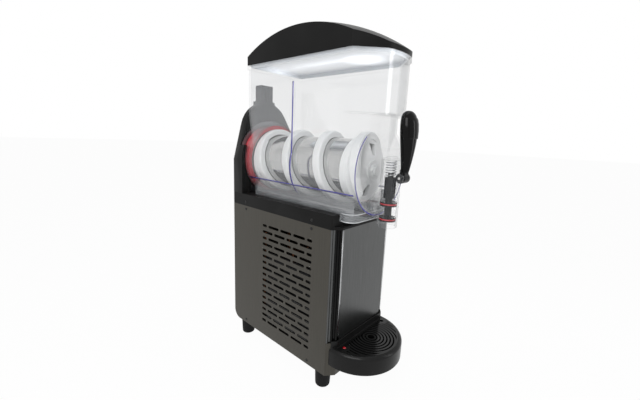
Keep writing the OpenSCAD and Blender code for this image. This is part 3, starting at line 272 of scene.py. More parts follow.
# %% Red silicone and black rubber
red_silicone = moulded("moulded_red_silicone", "#b81f2c", "#cc3340", 0.38, 1.4, 0.1)
adjust(red_silicone, {"Subsurface Weight": 0.2, "Subsurface Radius": (0.004, 0.001, 0.001)})
foot_rubber = moulded("moulded_black_rubber", "#111111", "#191919", 0.62, 0.7, 0.35, sheen=0.12)
print("made", red_silicone.name, foot_rubber.name)

# %% [markdown]
# ## Clear polycarbonate of the bowl and the tap
# The bowl is injection-moulded polycarbonate, 3.5 mm thick. Bending every ray through it would be slow and
# noisy, and such a thin flat wall hardly shifts what is behind it. So the wall is a thin see-through veil,
# mixed with a mirror. The mirror's share rises with the fifth power of the slant: a few hundredths when
# seen square on, and all of the light when seen edge-on. That share is what the eye uses to read clear
# plastic. The tap's wall is wet inside, which stops the reflection at that face, so its share is the
# smaller one. Low on the bowl, trough, skirts and base plate lie behind each other and their scattered
# light adds up, so the veil grows thicker below the trough's middle, between two heights in metres.

# %% Clear polycarbonate
FLOW_MM = 60
MILKY_TOP, MILKY_FOOT, MILKY_VEIL = 0.478, 0.445, 0.22


def clear_plastic(name, colour, least, most, square_on=0.045, roughness=0.04):
    finish, tree, shader = new_finish(name, {"Base Color": linear(colour), "Roughness": roughness,
        "IOR": 1.58})
    flow = noise(tree, FLOW_MM, 1.0)
    wavy = put(tree, "ShaderNodeBump", {"Height": flow, "Strength": 0.1, "Distance": 0.001})
    facing = put(tree, "ShaderNodeLayerWeight", {"Blend": 0.5}).outputs["Facing"]
    steep = put(tree, "ShaderNodeMath", {0: facing, 1: 5.0}, operation="POWER")
    veil = put(tree, "ShaderNodeMapRange", {"Value": steep, "To Min": least, "To Max": most})
    put(tree, shader, {"Alpha": veil, "Normal": wavy})
    share = put(tree, "ShaderNodeMapRange", {"Value": steep, "To Min": square_on, "To Max": 1.0})
    mirror = put(tree, "ShaderNodeBsdfGlossy", {"Roughness": roughness, "Normal": wavy})
    both = put(tree, "ShaderNodeMixShader", {0: share, 1: shader, 2: mirror})
    put(tree, tree.nodes["Material Output"], {"Surface": both})
    return finish


clear_bowl = clear_plastic("moulded_clear_polycarbonate", "#b4b8bc", 0.07, 0.6)
tree = clear_bowl.node_tree
height = put(tree, "ShaderNodeSeparateXYZ", {"Vector": object_place(tree)}).outputs["Z"]
milky = put(tree, "ShaderNodeMapRange", {"Value": height, "From Min": MILKY_TOP, "From Max": MILKY_FOOT,
    "To Max": MILKY_VEIL})
veil = tree.nodes["Principled BSDF"].inputs["Alpha"].links[0].from_socket
adjust(clear_bowl, {"Alpha": put(tree, "ShaderNodeMath", {0: veil, 1: milky}, operation="MAXIMUM")})

clear_tap = clear_plastic("moulded_clear_polycarbonate_tap", "#9a9ea4", 0.03, 0.6, square_on=0.02)
# Violet strips for the bowl's edges: painted light that runs along the wall and leaves at its edges.
painted_edge_glow = clear_plastic("polycarbonate_painted_edge_glow", "#48439c", 0.8, 0.95)
# Pale strips for the tongue's edges: a painted highlight.
tongue_edge_highlight = clear_plastic("polycarbonate_painted_edge_highlight", "#eef1f4", 0.55, 0.9)
print("made", clear_bowl.name, clear_tap.name, painted_edge_glow.name, tongue_edge_highlight.name)

# %% [markdown]
# ## Metals and paints of the inner and small pieces
# The cooling unit only shows through the vents and when pieces are moved. It still gets true finishes:
# copper that has dulled, zinc-plated sheet, cast aluminium and black enamel, each with the mottling its
# making leaves. The same recipe, in other tones, makes the spring's wire, the screws, the bulkhead and the
# painted highlight on the folds of the front panel.

# %% Mottled metals
def mottled_metal(name, dark, light, metallic, roughness, patch_mm):
    finish, tree, shader = new_finish(name, {"Metallic": metallic, "Roughness": roughness})
    patch = noise(tree, patch_mm, 4.0)
    bump = put(tree, "ShaderNodeBump", {"Height": patch, "Strength": 0.1, "Distance": 0.0003})
    put(tree, shader, {"Base Color": two_tone(tree, patch, dark, light), "Normal": bump})
    return finish


drawn_copper = mottled_metal("oxidised_drawn_copper", "#6b4029", "#8c5c3f", 1.0, 0.42, 25)
zinc_sheet = mottled_metal("zinc_plated_sheet", "#808386", "#a2a5a8", 0.9, 0.4, 12)
cast_alloy = mottled_metal("cast_aluminium", "#85878a", "#9b9da0", 1.0, 0.5, 3)
black_enamel = mottled_metal("black_enamelled_steel", "#161618", "#202023", 0.1, 0.35, 15)
spring_wire = mottled_metal("drawn_spring_steel", "#9fa2a5", "#c4c6c8", 1.0, 0.2, 6)
black_zinc = mottled_metal("black_zinc_plated_steel", "#0c0c0d", "#141415", 0.3, 0.45, 2)
satin_sheet = mottled_metal("satin_rolled_steel", "#6b6d70", "#7d7f82", 0.9, 0.38, 20)
# The bright tone of the front panel's folds is a painted highlight.
fold_highlight_steel = mottled_metal("painted_fold_highlight_steel", "#a4a5a6", "#b7b8b9", 1.0, 0.28, 8)
print("made", drawn_copper.name, zinc_sheet.name, cast_alloy.name, black_enamel.name)
print("made", spring_wire.name, black_zinc.name, satin_sheet.name, fold_highlight_steel.name)

# %% [markdown]
# ## The lamp in the lid
# A strip of small lamps lights the bowl from under the lid, through a pearly liner. A real lamp behind a
# real diffuser would need many rays to look smooth. Here the liner itself glows, most along its middle
# under the strip and at the strip's front end, and less towards its sides, which is the pattern the
# diffuser shows.

# %% Lamp strip and liner
FRONT_LAMP = mm(25, -107, 771)
BAND_HALF_W, SPOT_R = 0.08, 0.06

lamp_glow, tree, shader = new_finish("lit_lamp_strip", {"Roughness": 0.4,
    "Emission Color": linear("#fbfcff"), "Emission Strength": 1.5})
put(tree, shader, {"Base Color": two_tone(tree, noise(tree, 3), "#e6e9e4", "#ffffff")})

pearl_liner = clear_plastic("pearl_polycarbonate", "#d9dee3", 0.85, 0.97, roughness=0.16)
tree = pearl_liner.node_tree
where = object_place(tree)
across = put(tree, "ShaderNodeSeparateXYZ", {"Vector": where}).outputs["X"]
off_middle = put(tree, "ShaderNodeMath", {0: across}, operation="ABSOLUTE")
band = put(tree, "ShaderNodeMapRange", {"Value": off_middle, "From Max": BAND_HALF_W, "To Min": 0.6,
    "To Max": 0.1})
away = put(tree, "ShaderNodeVectorMath", {0: where, 1: FRONT_LAMP}, operation="DISTANCE").outputs["Value"]
spot = put(tree, "ShaderNodeMapRange", {"Value": away, "From Max": SPOT_R, "To Min": 1.2, "To Max": 0.0})
glow = put(tree, "ShaderNodeMath", {0: band, 1: spot}, operation="ADD")
adjust(pearl_liner, {"Emission Color": linear("#f6f9ff"), "Emission Strength": glow})
print("made", lamp_glow.name, pearl_liner.name)

# %% [markdown]
# ## Dressing a CAD node
# Many sub-parts have the right shape already, and need only a finish. Others have edges that are
# knife-sharp in CAD, and a real moulding never has those: light catches on a small radius. For them we
# copy the mesh, join its triangles into whole faces, and round its edges with a Bevel modifier. The copy
# then stands for the node.

# %% Finish and soften helpers
def finish_node(node, finish):
    mesh = frame["nodes"][node].data
    mesh.materials.clear()
    mesh.materials.append(finish)


def new_piece(name, points, faces, body, finish, nodes=()):
    mesh = bpy.data.meshes.new(name)
    mesh.from_pydata([tuple(p) for p in points], [], faces)
    mesh.materials.append(finish)
    mesh.shade_smooth()
    piece = bpy.data.objects.new(name, mesh)
    bpy.context.collection.objects.link(piece)
    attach(piece, body)
    if nodes:
        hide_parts(*nodes)
    return piece


WELD_DISTANCE, FLAT_ANGLE = 2e-6, math.radians(0.3)


def soften(node, radius_mm, finish, segments=3, sharp=30):
    source = frame["nodes"][node]
    form = bmesh.new()
    form.from_mesh(source.data)
    bmesh.ops.remove_doubles(form, verts=form.verts, dist=WELD_DISTANCE)
    bmesh.ops.dissolve_limit(form, angle_limit=FLAT_ANGLE, verts=form.verts, edges=form.edges)
    form.verts.index_update()
    points = [vertex.co.copy() for vertex in form.verts]
    faces = [[vertex.index for vertex in face.verts] for face in form.faces]
    form.free()
    piece = new_piece(node + "_dressed", points, faces, source["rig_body"], finish, [node])
    piece.data.set_sharp_from_angle(angle=math.radians(sharp))
    edge = piece.modifiers.new("edge_radius", "BEVEL")
    edge.width = radius_mm / 1000
    edge.segments = segments
    edge.limit_method = "ANGLE"
    edge.angle_limit = math.radians(sharp)
    edge.harden_normals = True
    return piece


print("dressing helpers ready")

# %% [markdown]
# ## Sheet metal and hidden pieces
# The panels are thin sheet with punched slots, and sheet edges stay crisp, so the CAD meshes are kept. The
# inner pieces are kept too. Each only gets its finish.

# %% Finishes for kept nodes
kept = {
    side_steel: ["left_side_panel", "right_side_panel", "rear_panel", "base_pan"],
    front_steel: ["front_panel"],
    drum_steel: ["evaporator_drum", "drive_shaft"],
    satin_sheet: ["bulkhead"],
    red_silicone: ["piston_seals"],
    drawn_copper: ["evaporator_coil", "refrigerant_pipes", "filter_drier"],
    zinc_sheet: ["electrical_box"],
    cast_alloy: ["gear_box"],
    black_enamel: ["compressor", "condenser", "gear_motor", "fan_motor", "fan_shroud"],
    foot_rubber: ["compressor_grommets"],
    black_abs: ["fan_blade"],
    white_acetal: ["shaft_bush"],
    lamp_glow: ["lid_lamp"],
}
for finish, names in kept.items():
    for name in names:
        finish_node(name, finish)
print("finished", sum(len(names) for names in kept.values()), "kept nodes")

# %% [markdown]
# ## Mouldings with rounded edges
# The covers, the tray, the controls, the auger's ends, the bowl and the tap are mouldings, so their edges
# get radii of half a millimetre to three. The radius follows the size of the piece: a rib of the grille
# has little more than half a millimetre, the deck two.

# %% Soften the mouldings
softened = [
    soften("deck", 2.0, black_abs),
    soften("motor_cowl", 2.0, black_abs, sharp=40),
    soften("lamp_column", 2.0, column_abs),
    soften("lid_cover", 1.5, lid_abs),
    soften("lid_liner", 0.8, pearl_liner),
    soften("drip_tray", 1.5, tray_abs),
    soften("drip_grille", 0.6, grille_abs, segments=2),
    soften("control_plate", 0.5, black_abs),
    soften("power_inlet", 0.6, black_abs),
    soften("power_rocker", 0.6, red_abs),
    soften("cooling_rocker", 0.6, gloss_black),
    soften("hardness_knob", 0.8, gloss_black),
    soften("drum_gasket", 1.0, red_silicone),
    soften("tap_piston", 0.8, gloss_black),
    soften("auger_nose", 1.5, white_acetal),
    soften("auger_ring", 3.0, white_acetal),
    soften("auger_nut", 1.0, white_acetal),
    soften("bowl", 1.0, clear_bowl),
    soften("tap_spout", 0.6, clear_tap),
    soften("tap_cap", 0.8, clear_tap),
]
print("softened", len(softened), "mouldings")

# %% [markdown]
# ## Corner posts
# Each post fills the corner between a side panel and the front panel. Its outer third is brushed like the
# front panel, and the rest is black. Both finishes sit on one softened mesh, and each face picks its own
# by its place.

# %% Two finishes on the corner posts
STEEL_FROM_X = 0.1025

posts = soften("corner_posts", 0.8, gloss_black)
posts.data.materials.append(front_steel)
for face in posts.data.polygons:
    face.material_index = int(abs(face.center.x) > STEEL_FROM_X)
print("brushed post faces:", sum(face.material_index for face in posts.data.polygons))

# %% [markdown]
# ## The spiral
# The auger's flight is one long ribbon wound round the drum. In CAD it is a coarse ribbon with square
# edges. Here the same winding is swept in fine steps with a rounded cross-section, which gives it clean
# highlights. A Screw modifier could wind it, but placing the sections by formula keeps the ends exactly
# where the CAD has them. Joining a row of equal sections with faces is called a loft, and most of the
# pieces below are lofts too.

# %% Wind the spiral
AXIS_Z = 525.0
LEAD = 106.0
HALF_BAND = 11.0
FLIGHT_TOP_Y = -144.5
FLIGHT_IN_R, FLIGHT_OUT_R, FLIGHT_EDGE = 70.6, 85.9, 4.0
LAST_BAND, END_GAP = 8.0, 0.1
SECTIONS = 400


def loft(points, faces, rings):
    first = len(points)
    size = len(rings[0])
    for ring in rings:
        points.extend(ring)
    for i in range(len(rings) - 1):
        for k in range(size):
            a, b = first + i * size + k, first + i * size + (k + 1) % size
            faces.append((a, b, b + size, a + size))
    faces.append(tuple(first + k for k in range(size))[::-1])
    faces.append(tuple(first + (len(rings) - 1) * size + k for k in range(size)))


def lofted(name, forms, body, finish, nodes=(), sharp=None):
    points, faces = [], []
    for rings in forms:
        loft(points, faces, rings)
    piece = new_piece(name, points, faces, body, finish, nodes)
    if sharp:
        piece.data.set_sharp_from_angle(angle=math.radians(sharp))
    return piece


def round_section(low_r, high_r, half, radius, steps=5):
    section = [(low_r, -half)]
    for across, start in ((radius - half, 270), (half - radius, 0)):
        for i in range(steps + 1):
            turn = math.radians(start + 90 * i / steps)
            section.append((high_r - radius + radius * math.cos(turn), across + radius * math.sin(turn)))
    return section + [(low_r, half)]


spiral_low, spiral_high = (corner * 1000 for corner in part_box("auger_spiral"))
least_y = spiral_low.y + END_GAP
rear_y = spiral_high.y - HALF_BAND
front_y = least_y + LAST_BAND - HALF_BAND
section = round_section(FLIGHT_IN_R, FLIGHT_OUT_R, HALF_BAND, FLIGHT_EDGE)
rings = []
for i in range(SECTIONS + 1):
    along = rear_y + (front_y - rear_y) * i / SECTIONS
    turn = 2 * math.pi * (FLIGHT_TOP_Y - along) / LEAD
    near, far = max(along - HALF_BAND, least_y), along + HALF_BAND
    slim = (far - near) / (2 * HALF_BAND)
    ring = [(r, (near + far) / 2 + across * slim) for r, across in section]
    rings.append([mm(-r * math.sin(turn), y, AXIS_Z + r * math.cos(turn)) for r, y in ring])
lofted("auger_flight", [rings], "auger", white_acetal, ["auger_spiral"], sharp=40)
print("spiral of", len(rings), "sections")

# %% [markdown]
# ## The tap's spring
# The return spring is drawn wire, six curls between the piston and the cap. A curve with a round bevel
# would make wire too, but the spring has to flatten when the handle lifts the piston, and for that it must
# be a mesh. So we stack small circles of wire along the winding and loft them, as with the spiral.

# %% Coil the spring
CURLS, CURL_STEPS, WIRE_SIDES = 6, 32, 10
WIRE_R = 0.9

spring_low, spring_high = (corner * 1000 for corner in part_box("tap_spring"))
TAP_Y = (spring_low.y + spring_high.y) / 2
coil_r = spring_high.x - WIRE_R
steps = CURLS * CURL_STEPS
path = []
for i in range(steps + 1):
    turn = 2 * math.pi * i / CURL_STEPS
    rise = spring_low.z + 2 * WIRE_R + (spring_high.z - spring_low.z - 4 * WIRE_R) * i / steps
    path.append(Vector((coil_r * math.cos(turn), coil_r * math.sin(turn), rise)))
wire_turns = [2 * math.pi * k / WIRE_SIDES for k in range(WIRE_SIDES)]
rings = []
for i, place in enumerate(path):
    way = (path[min(i + 1, steps)] - path[max(i - 1, 0)]).normalized()
    out = Vector((place.x, place.y, 0)).normalized()
    side = way.cross(out)
    ring = [place + WIRE_R * (math.cos(t) * out + math.sin(t) * side) for t in wire_turns]
    rings.append([mm(spot.x, spot.y + TAP_Y, spot.z) for spot in ring])
spring = lofted("tap_spring_wire", [rings], "bowl", spring_wire, ["tap_spring"])
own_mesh(spring)
print("spring wire points:", len(path))

# %% [markdown]
# ## The tap handle
# The handle is a spoon-shaped lever with a grip that swells towards its top. The grip is a loft: ovals
# stacked along a bent line and joined with faces, which a Subdivision modifier then smooths. A thumb pad
# sits on its front, a curved plate that follows the same ovals a little further out. Each row below holds
# an oval's height, lean, half width and half depth in millimetres; the pad's rows add how proud it stands.

# %% Loft the grip and its pad
PIVOT_Y, PIVOT_Z = -239.5, 516.0
PAD_T, PAD_FROM, PAD_SPAN = 2.0, 215, 110
GRIP_SIDES, PAD_STEPS = 28, 12
grip = [(10, -3, 8, 8), (18, -3.5, 9, 9), (34, -4.4, 11.5, 11.4), (56, -5, 15, 14.2),
    (78, -5, 19.6, 16.2), (98, -4.5, 23, 17), (112, -3.6, 23, 16.6), (123, -2.4, 21, 15.4),
    (131, -1.4, 17, 12.8), (136, -1, 11, 8.6), (138.4, -1, 5, 4)]
thumb_pad = [(82, -5, 20.4, 16.4, 0.2), (83, -5, 20.6, 16.5, 1.3), (98, -4.5, 23, 17, 1.2),
    (112, -3.6, 23, 16.6, 1.2), (121, -2.6, 21.4, 15.6, 1.2), (124, -2.2, 20.6, 15.2, 0.2)]


def oval(height, lean, wide, deep, turns):
    return [mm(wide * math.cos(t), PIVOT_Y + lean + deep * math.sin(t), PIVOT_Z + height) for t in turns]


grip_turns = [2 * math.pi * k / GRIP_SIDES for k in range(GRIP_SIDES)]
rings = [oval(*row, grip_turns) for row in grip]
handle = lofted("tap_handle_grip", [rings], "handle", gloss_black, ["tap_handle"])
smooth = handle.modifiers.new("smooth", "SUBSURF")
smooth.levels = smooth.render_levels = 2

pad_turns = [math.radians(PAD_FROM + PAD_SPAN * k / PAD_STEPS) for k in range(PAD_STEPS + 1)]
rings = []
for height, lean, wide, deep, proud in thumb_pad:
    outer = oval(height, lean, wide + proud, deep + proud, pad_turns)
    inner = oval(height, lean, wide - PAD_T, deep - PAD_T, pad_turns[::-1])
    rings.append(outer + inner)
lofted("tap_handle_pad", [rings], "handle", gloss_black, ["tap_handle"], sharp=35)
print("grip rings:", len(grip), "pad rings:", len(thumb_pad))

# %% [markdown]
# ## The lever under the grip
# Below the grip sit the hub that turns on the pin, and the arm whose rounded tip lifts the piston. Turned
# forms are lofts too: circles along an axis, from rows of radius and height. The same helper makes the
# pin, the feet, the screws and the tray's float. Bars are lofts of four corners, drawn in a little at
# each end.

# %% Hub, arm, neck and pin
ARM_Y = 29
PULL = math.radians(45)


def turned(profile, place, way=(0, 0, 1), segments=40):
    turn = Vector(way).to_track_quat("Z", "Y").to_matrix()
    angles = [2 * math.pi * k / segments for k in range(segments)]
    return [[place + turn @ mm(r * math.cos(a), r * math.sin(a), h) for a in angles] for r, h in profile]


def rod(radius, half, edge):
    return [(radius - edge, -half), (radius, edge - half), (radius, half - edge), (radius - edge, half)]


def bar(start, end, half_w, half_t, edge=0.8):
    way = (end - start).normalized()
    across = Vector((1, 0, 0))
    up = across.cross(way)
    ends = ((start, edge), (start + way * edge / 1000, 0), (end - way * edge / 1000, 0), (end, edge))
    corners = [(-1, -1), (1, -1), (1, 1), (-1, 1)]
    return [[place + (a * (half_w - less) * across + b * (half_t - less) * up) / 1000 for a, b in corners]
        for place, less in ends]


along_x = (1, 0, 0)
pivot = mm(0, PIVOT_Y, PIVOT_Z)
tip = mm(0, TAP_Y, PIVOT_Z - ARM_Y * math.tan(PULL / 2))
hub = turned(rod(radius=11, half=12, edge=1.2), pivot, along_x)
roller = turned(rod(radius=4, half=5, edge=0.8), tip, along_x)
arm = bar(pivot, tip, half_w=4, half_t=3)
neck = bar(pivot + mm(0, -2, 4), pivot + mm(0, -2, 18), half_w=8, half_t=6)
lofted("tap_handle_lever", [hub, roller, arm, neck], "handle", gloss_black, ["tap_handle"], sharp=35)

pin_low, pin_high = (corner * 1000 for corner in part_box("tap_pivot_pin"))
pin_r = (pin_high.z - pin_low.z) / 2
pin = turned(rod(radius=pin_r, half=pin_high.x, edge=0.6), pivot, along_x)
lofted("tap_pin_turned", [pin], "bowl", drum_steel, ["tap_pivot_pin"], sharp=35)
print("lever and pin made")

# %% [markdown]
# ## Feet and screws
# The feet are tapered rubber with a soft lower edge. The screws that hold the panels have low pan heads
# with a cross recess. The recess is part of the loft: its rings swing in and out four times round the
# head. Each of their rows holds a height, the reach of the four arms and the waist between them.

# %% Turn the feet and the screw heads
FOOT_X, FOOT_YS = 88, (-118.5, 188.5)
SCREW_X, SCREW_YS, SCREW_ZS = 112, (-84.5, 166.5), (56, 391, 411)
HEAD_SIDES, RECESS_ARMS = 32, 4
foot_profile = [(14, 0), (16.4, 0.6), (17.5, 2), (18, 4.5), (18.2, 8), (19.6, 41), (19.9, 43.5), (20, 46)]
head_profile = [(3.5, -1), (3.5, 0.45), (3.2, 0.85), (2.6, 1.1), (2.1, 1.19)]
recess_rings = [(1.19, 1.75, 0.6), (0.3, 1.3, 0.45)]


def screw_head(place, way):
    head = turned(head_profile, place, way, HEAD_SIDES)
    arm_sides = HEAD_SIDES // RECESS_ARMS
    in_arm = (0, 1, arm_sides - 1)
    for height, wide, slim in recess_rings:
        circle = turned([(1.0, height)], place, way, HEAD_SIDES)[0]
        middle = sum(circle, Vector()) / HEAD_SIDES
        head.append([middle + (spot - middle) * (wide if k % arm_sides in in_arm else slim)
            for k, spot in enumerate(circle)])
    return head


feet = [turned(foot_profile, mm(x, y, 0)) for x in (-FOOT_X, FOOT_X) for y in FOOT_YS]
lofted("feet_turned", feet, "base", foot_rubber, ["feet"], sharp=50)
heads = [screw_head(mm(side * SCREW_X, y, z), (side, 0, 0))
    for side in (-1, 1) for y in SCREW_YS for z in SCREW_ZS]
lofted("panel_screw_heads", heads, "base", black_zinc, ["panel_screws"], sharp=35)
print("made", len(feet), "feet and", len(heads), "screw heads")

# %% [markdown]
# ## The tray's float
# A red float rises through the grille when the tray is full. It is a hollow moulding with a domed head, so
# the plain cylinder of the CAD gets a soft foot edge and a dome.

# %% Turn the float
float_low, float_high = (corner * 1000 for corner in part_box("tray_float"))
float_r = (float_high.x - float_low.x) / 2
float_h = float_high.z - float_low.z
float_profile = [(float_r - 1, 0), (float_r - 0.3, 0.3), (float_r, 1), (float_r, float_h - 4),
    (0.92 * float_r, float_h - 2), (0.7 * float_r, float_h - 0.8), (0.35 * float_r, float_h - 0.1)]
float_foot = mm(float_low.x + float_r, float_low.y + float_r, float_low.z)
lofted("tray_float_turned", [turned(float_profile, float_foot)], "float", red_abs, ["tray_float"])
print("float height:", round(float_h, 1), "mm")

# %% [markdown]
# ## Louvre hoods
# The slots of the rear panel are pressed louvres: the sheet above each slot is pushed out into a small
# hood that keeps drips off the condenser. A hood is a bent section that runs along the slot and flattens
# at both ends. Its rows hold the place along the slot and the depth there.

# %% Press the louvre hoods
LOUVRES, LOUVRE_PITCH, FIRST_CREST = 10, 14, 365.5
HOOD_DROP, HOOD_SHEET, BEND_STEPS = 12.8, 1.0, 6
hood_depths = [(-75, 1.2), (-70, 5.5), (-66, 7), (66, 7), (70, 5.5), (75, 1.2)]
bends = [math.radians(90 * k / BEND_STEPS) for k in range(BEND_STEPS + 1)]
back_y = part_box("rear_panel")[1].y * 1000


def bent(depth, crest, drop, turns):
    return [(depth * math.sin(turn), crest - drop * (1 - math.cos(turn))) for turn in turns]


hoods = []
for k in range(LOUVRES):
    crest = FIRST_CREST - LOUVRE_PITCH * k
    rings = []
    for x, depth in hood_depths:
        skin = bent(depth, crest, HOOD_DROP, bends)
        lining = bent(depth - HOOD_SHEET, crest - HOOD_SHEET, HOOD_DROP - HOOD_SHEET, bends[::-1])
        rings.append([mm(x, back_y + y, z) for y, z in skin + lining])
    hoods.append(rings)
lofted("rear_louvre_hoods", hoods, "base", side_steel, sharp=40)
print("made", len(hoods), "hoods")

# %% [markdown]
# ## Edges of the clear bowl
# Clear plastic shows its edges as violet lines, because light runs along the wall and leaves there. The
# skirts, the front disc and the mould's parting line on the left wall show them most, and the tongue's
# edges shine white. Thin strips lie on those edges, just proud of the wall, with that light painted on
# them. The disc's arcs are rows of a start and an end in degrees and a width.

# %% Bowl edge lines
PROUD = 0.3
BOWL_R, WALL_X = 100, 95.5
SKIRT_X, SKIRT_Z, SKIRT_W = 88, 477.4, 4.6
SKIRT_FRONT_Y, SKIRT_STEP, SKIRT_POINTS = -178, 33, 12
SEAM_Y, SEAM_TOP, SEAM_FOOT, SEAM_STEP, SEAM_W = 5.5, 717, 452, 6, 5.5
DISC_R, DISC_Y, ARC_STEPS = 98.6, -186.5, 60
disc_arcs = [(130, 345, 4.2), (0, 40, 2.4)]


def strip(path, out, width):
    rings = []
    for i, spot in enumerate(path):
        way = (path[min(i + 1, len(path) - 1)] - path[max(i - 1, 0)]).normalized()
        side = way.cross(out(spot)).normalized() * width / 2000
        high = out(spot) * PROUD / 1000
        rings.append([spot - side, spot + side, spot + side + high, spot - side + high])
    return rings


def wall_x(z):
    round_x = math.sqrt(max(BOWL_R ** 2 - (z - AXIS_Z) ** 2, 0))
    return round_x if z < AXIS_Z else max(WALL_X, round_x)


def from_axis(spot):
    return Vector((spot.x, 0, min(spot.z - AXIS_Z / 1000, 0))).normalized()


def to_front(spot):
    return Vector((0, -1, 0))


skirt_ys = [SKIRT_FRONT_Y + SKIRT_STEP * k for k in range(SKIRT_POINTS)]
seam_zs = range(SEAM_TOP, SEAM_FOOT, -SEAM_STEP)
lines = [strip([mm(side * SKIRT_X, y, SKIRT_Z) for y in skirt_ys], from_axis, SKIRT_W)
    for side in (-1, 1)]
lines.append(strip([mm(-wall_x(z), SEAM_Y, z) for z in seam_zs], from_axis, SEAM_W))
for start, end, width in disc_arcs:
    turns = [math.radians(start + (end - start) * k / ARC_STEPS) for k in range(ARC_STEPS + 1)]
    arc = [mm(DISC_R * math.cos(t), DISC_Y, AXIS_Z + DISC_R * math.sin(t)) for t in turns]
    lines.append(strip(arc, to_front, width))
lofted("bowl_edge_lines", lines, "bowl", painted_edge_glow)
print("made", len(lines), "edge lines")

# %% [markdown]
# ## Painted highlights on the tongue's edges
# The tongue's outline is two straight sides and two round front corners. A pale band of two millimetres
# follows it along the upper and the lower edge: the light those edges catch, painted on. Each point of
# the outline carries the direction that leads out of the plastic, so that the band can stand proud.

# %% Tongue edges
TONGUE_HW, TONGUE_R, TONGUE_Y, TONGUE_L = 88, 24, -180.5, 34
TONGUE_EDGE_ZS = (417.4, 434.8)
half_band = mm(0, 0, 1)

outline = [(-TONGUE_HW, TONGUE_Y + TONGUE_L, -1, 0)]
for corner, start in ((TONGUE_R - TONGUE_HW, 180), (TONGUE_HW - TONGUE_R, 270)):
    for degrees in range(start, start + 91, 10):
        t = math.radians(degrees)
        x, y = corner + TONGUE_R * math.cos(t), TONGUE_Y + TONGUE_R * (1 + math.sin(t))
        outline.append((x, y, math.cos(t), math.sin(t)))
outline.append((TONGUE_HW, TONGUE_Y + TONGUE_L, 1, 0))

edges = []
for z in TONGUE_EDGE_ZS:
    rings = []
    for x, y, out_x, out_y in outline:
        low, high = mm(x, y, z) - half_band, mm(x, y, z) + half_band
        proud = mm(PROUD * out_x, PROUD * out_y, 0)
        rings.append([low, high, high + proud, low + proud])
    edges.append(rings)
lofted("bowl_tongue_edge_highlights", edges, "bowl", tongue_edge_highlight)
print("made", len(edges), "tongue edges")

# %% [markdown]
# ## Painted highlights on the front panel's folds
# The front panel's long edges are folded back, and the fold's rounded face catches the light. A slim
# bright strip along each edge is that highlight, painted on.

# %% Fold highlights on the front panel
FOLD_IN, FOLD_W, FOLD_BELOW_TOP = 2.6, 4.6, 1
FOLD_ZS = (146, 230, 315)

panel_low, panel_high = (corner * 1000 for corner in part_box("front_panel"))
folds = []
for x in (panel_low.x + FOLD_IN, panel_high.x - FOLD_IN):
    upright = [mm(x, panel_low.y, z) for z in (*FOLD_ZS, panel_high.z - FOLD_BELOW_TOP)]
    folds.append(strip(upright, to_front, FOLD_W))
lofted("front_panel_fold_highlights", folds, "base", fold_highlight_steel)
print("made", len(folds), "folds")

# %% [markdown]
# ## The deck's front lip
# The front panel stands a little forward of the deck, and a flat black lip of the deck covers it and the
# posts. It is one outline drawn three times: twice at full size for the upright edge, and once smaller for
# the rounded top.

# %% Lip above the front panel
LIP_H, LIP_EDGE, LIP_GAP = 6.0, 1.2, 0.1

deck_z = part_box("deck")[0].z * 1000
post_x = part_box("corner_posts")[1].x * 1000
plan = [(-post_x, panel_high.y, 0), (-panel_high.x, panel_low.y, 1), (panel_high.x, panel_low.y, 1),
    (post_x, panel_high.y, 0)]
rings = []
for inset, height in ((0, LIP_GAP), (0, LIP_H - LIP_EDGE), (LIP_EDGE, LIP_H)):
    rings.append([mm(x - math.copysign(inset, x), y + inset * front, deck_z + height)
        for x, y, front in plan])
lofted("deck_front_lip", [rings], "base", black_abs, sharp=30)
print("lip made")

# %% [markdown]
# ## Floor, light and world
# The picture is a product cut-out on white. The floor is nearly white and still takes a soft shadow. For
# rays that the camera, a mirror or a clear wall sends out, floor and world are plain white; for soft light
# the world is dimmer, so that the big lamp on the left gives the shapes their shading. A tall narrow lamp
# at the front draws an upright highlight on the bowl's prow and on the handle. Each lamp's row holds its
# place in millimetres, its width and height in metres, and its watts.

# %% Stage and lamps
FLOOR_HALF, FLOOR_Z = 20, -0.0005
LOOK_AT = mm(0, 0, 450)


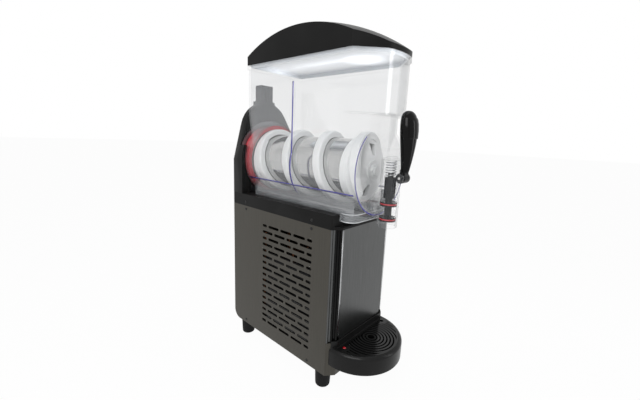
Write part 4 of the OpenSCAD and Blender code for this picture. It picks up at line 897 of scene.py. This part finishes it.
def white_for_seen_rays(tree, least, most):
    rays = put(tree, "ShaderNodeLightPath").outputs
    seen = put(tree, "ShaderNodeMath", {0: rays["Is Camera Ray"], 1: rays["Is Glossy Ray"]},
        operation="MAXIMUM")
    seen = put(tree, "ShaderNodeMath", {0: seen, 1: rays["Is Transmission Ray"]}, operation="MAXIMUM")
    return put(tree, "ShaderNodeMapRange", {"Value": seen, "To Min": least, "To Max": most})


scene = bpy.context.scene
scene.view_settings.view_transform = "Standard"
corners = [(x * FLOOR_HALF, y * FLOOR_HALF, FLOOR_Z) for x, y in ((-1, -1), (1, -1), (1, 1), (-1, 1))]
floor_mesh = bpy.data.meshes.new("floor")
floor_mesh.from_pydata(corners, [], [(0, 1, 2, 3)])
floor = bpy.data.objects.new("floor", floor_mesh)
bpy.context.collection.objects.link(floor)
pale, tree, shader = new_finish("matt_pale_floor", {"Base Color": linear("#f4f4f4"), "Roughness": 0.9})
white = put(tree, "ShaderNodeEmission", {"Color": (1, 1, 1, 1), "Strength": 1.0})
mix = put(tree, "ShaderNodeMixShader", {0: white_for_seen_rays(tree, 0.0, 0.96), 1: shader, 2: white})
put(tree, tree.nodes["Material Output"], {"Surface": mix})
floor_mesh.materials.append(pale)

world = bpy.data.worlds.new("white_studio")
world.use_nodes = True
scene.world = world
tree = world.node_tree
put(tree, tree.nodes["Background"], {"Color": (1, 1, 1, 1),
    "Strength": white_for_seen_rays(tree, 0.36, 1.0)})

lamps = [("key", (-1500, -700, 1350), 1.1, 1.1, 22), ("strip", (650, -1500, 700), 0.25, 1.3, 4),
    ("top", (0, 100, 2300), 1.4, 1.4, 9)]
for name, place, wide, tall, power in lamps:
    lamp = bpy.data.lights.new(name, "AREA")
    lamp.shape = "RECTANGLE"
    lamp.size = wide
    lamp.size_y = tall
    lamp.energy = power
    holder = bpy.data.objects.new(name, lamp)
    holder.location = mm(*place)
    holder.rotation_euler = (LOOK_AT - holder.location).to_track_quat("-Z", "Y").to_euler()
    bpy.context.collection.objects.link(holder)
print("floor, world and", len(lamps), "lamps ready")
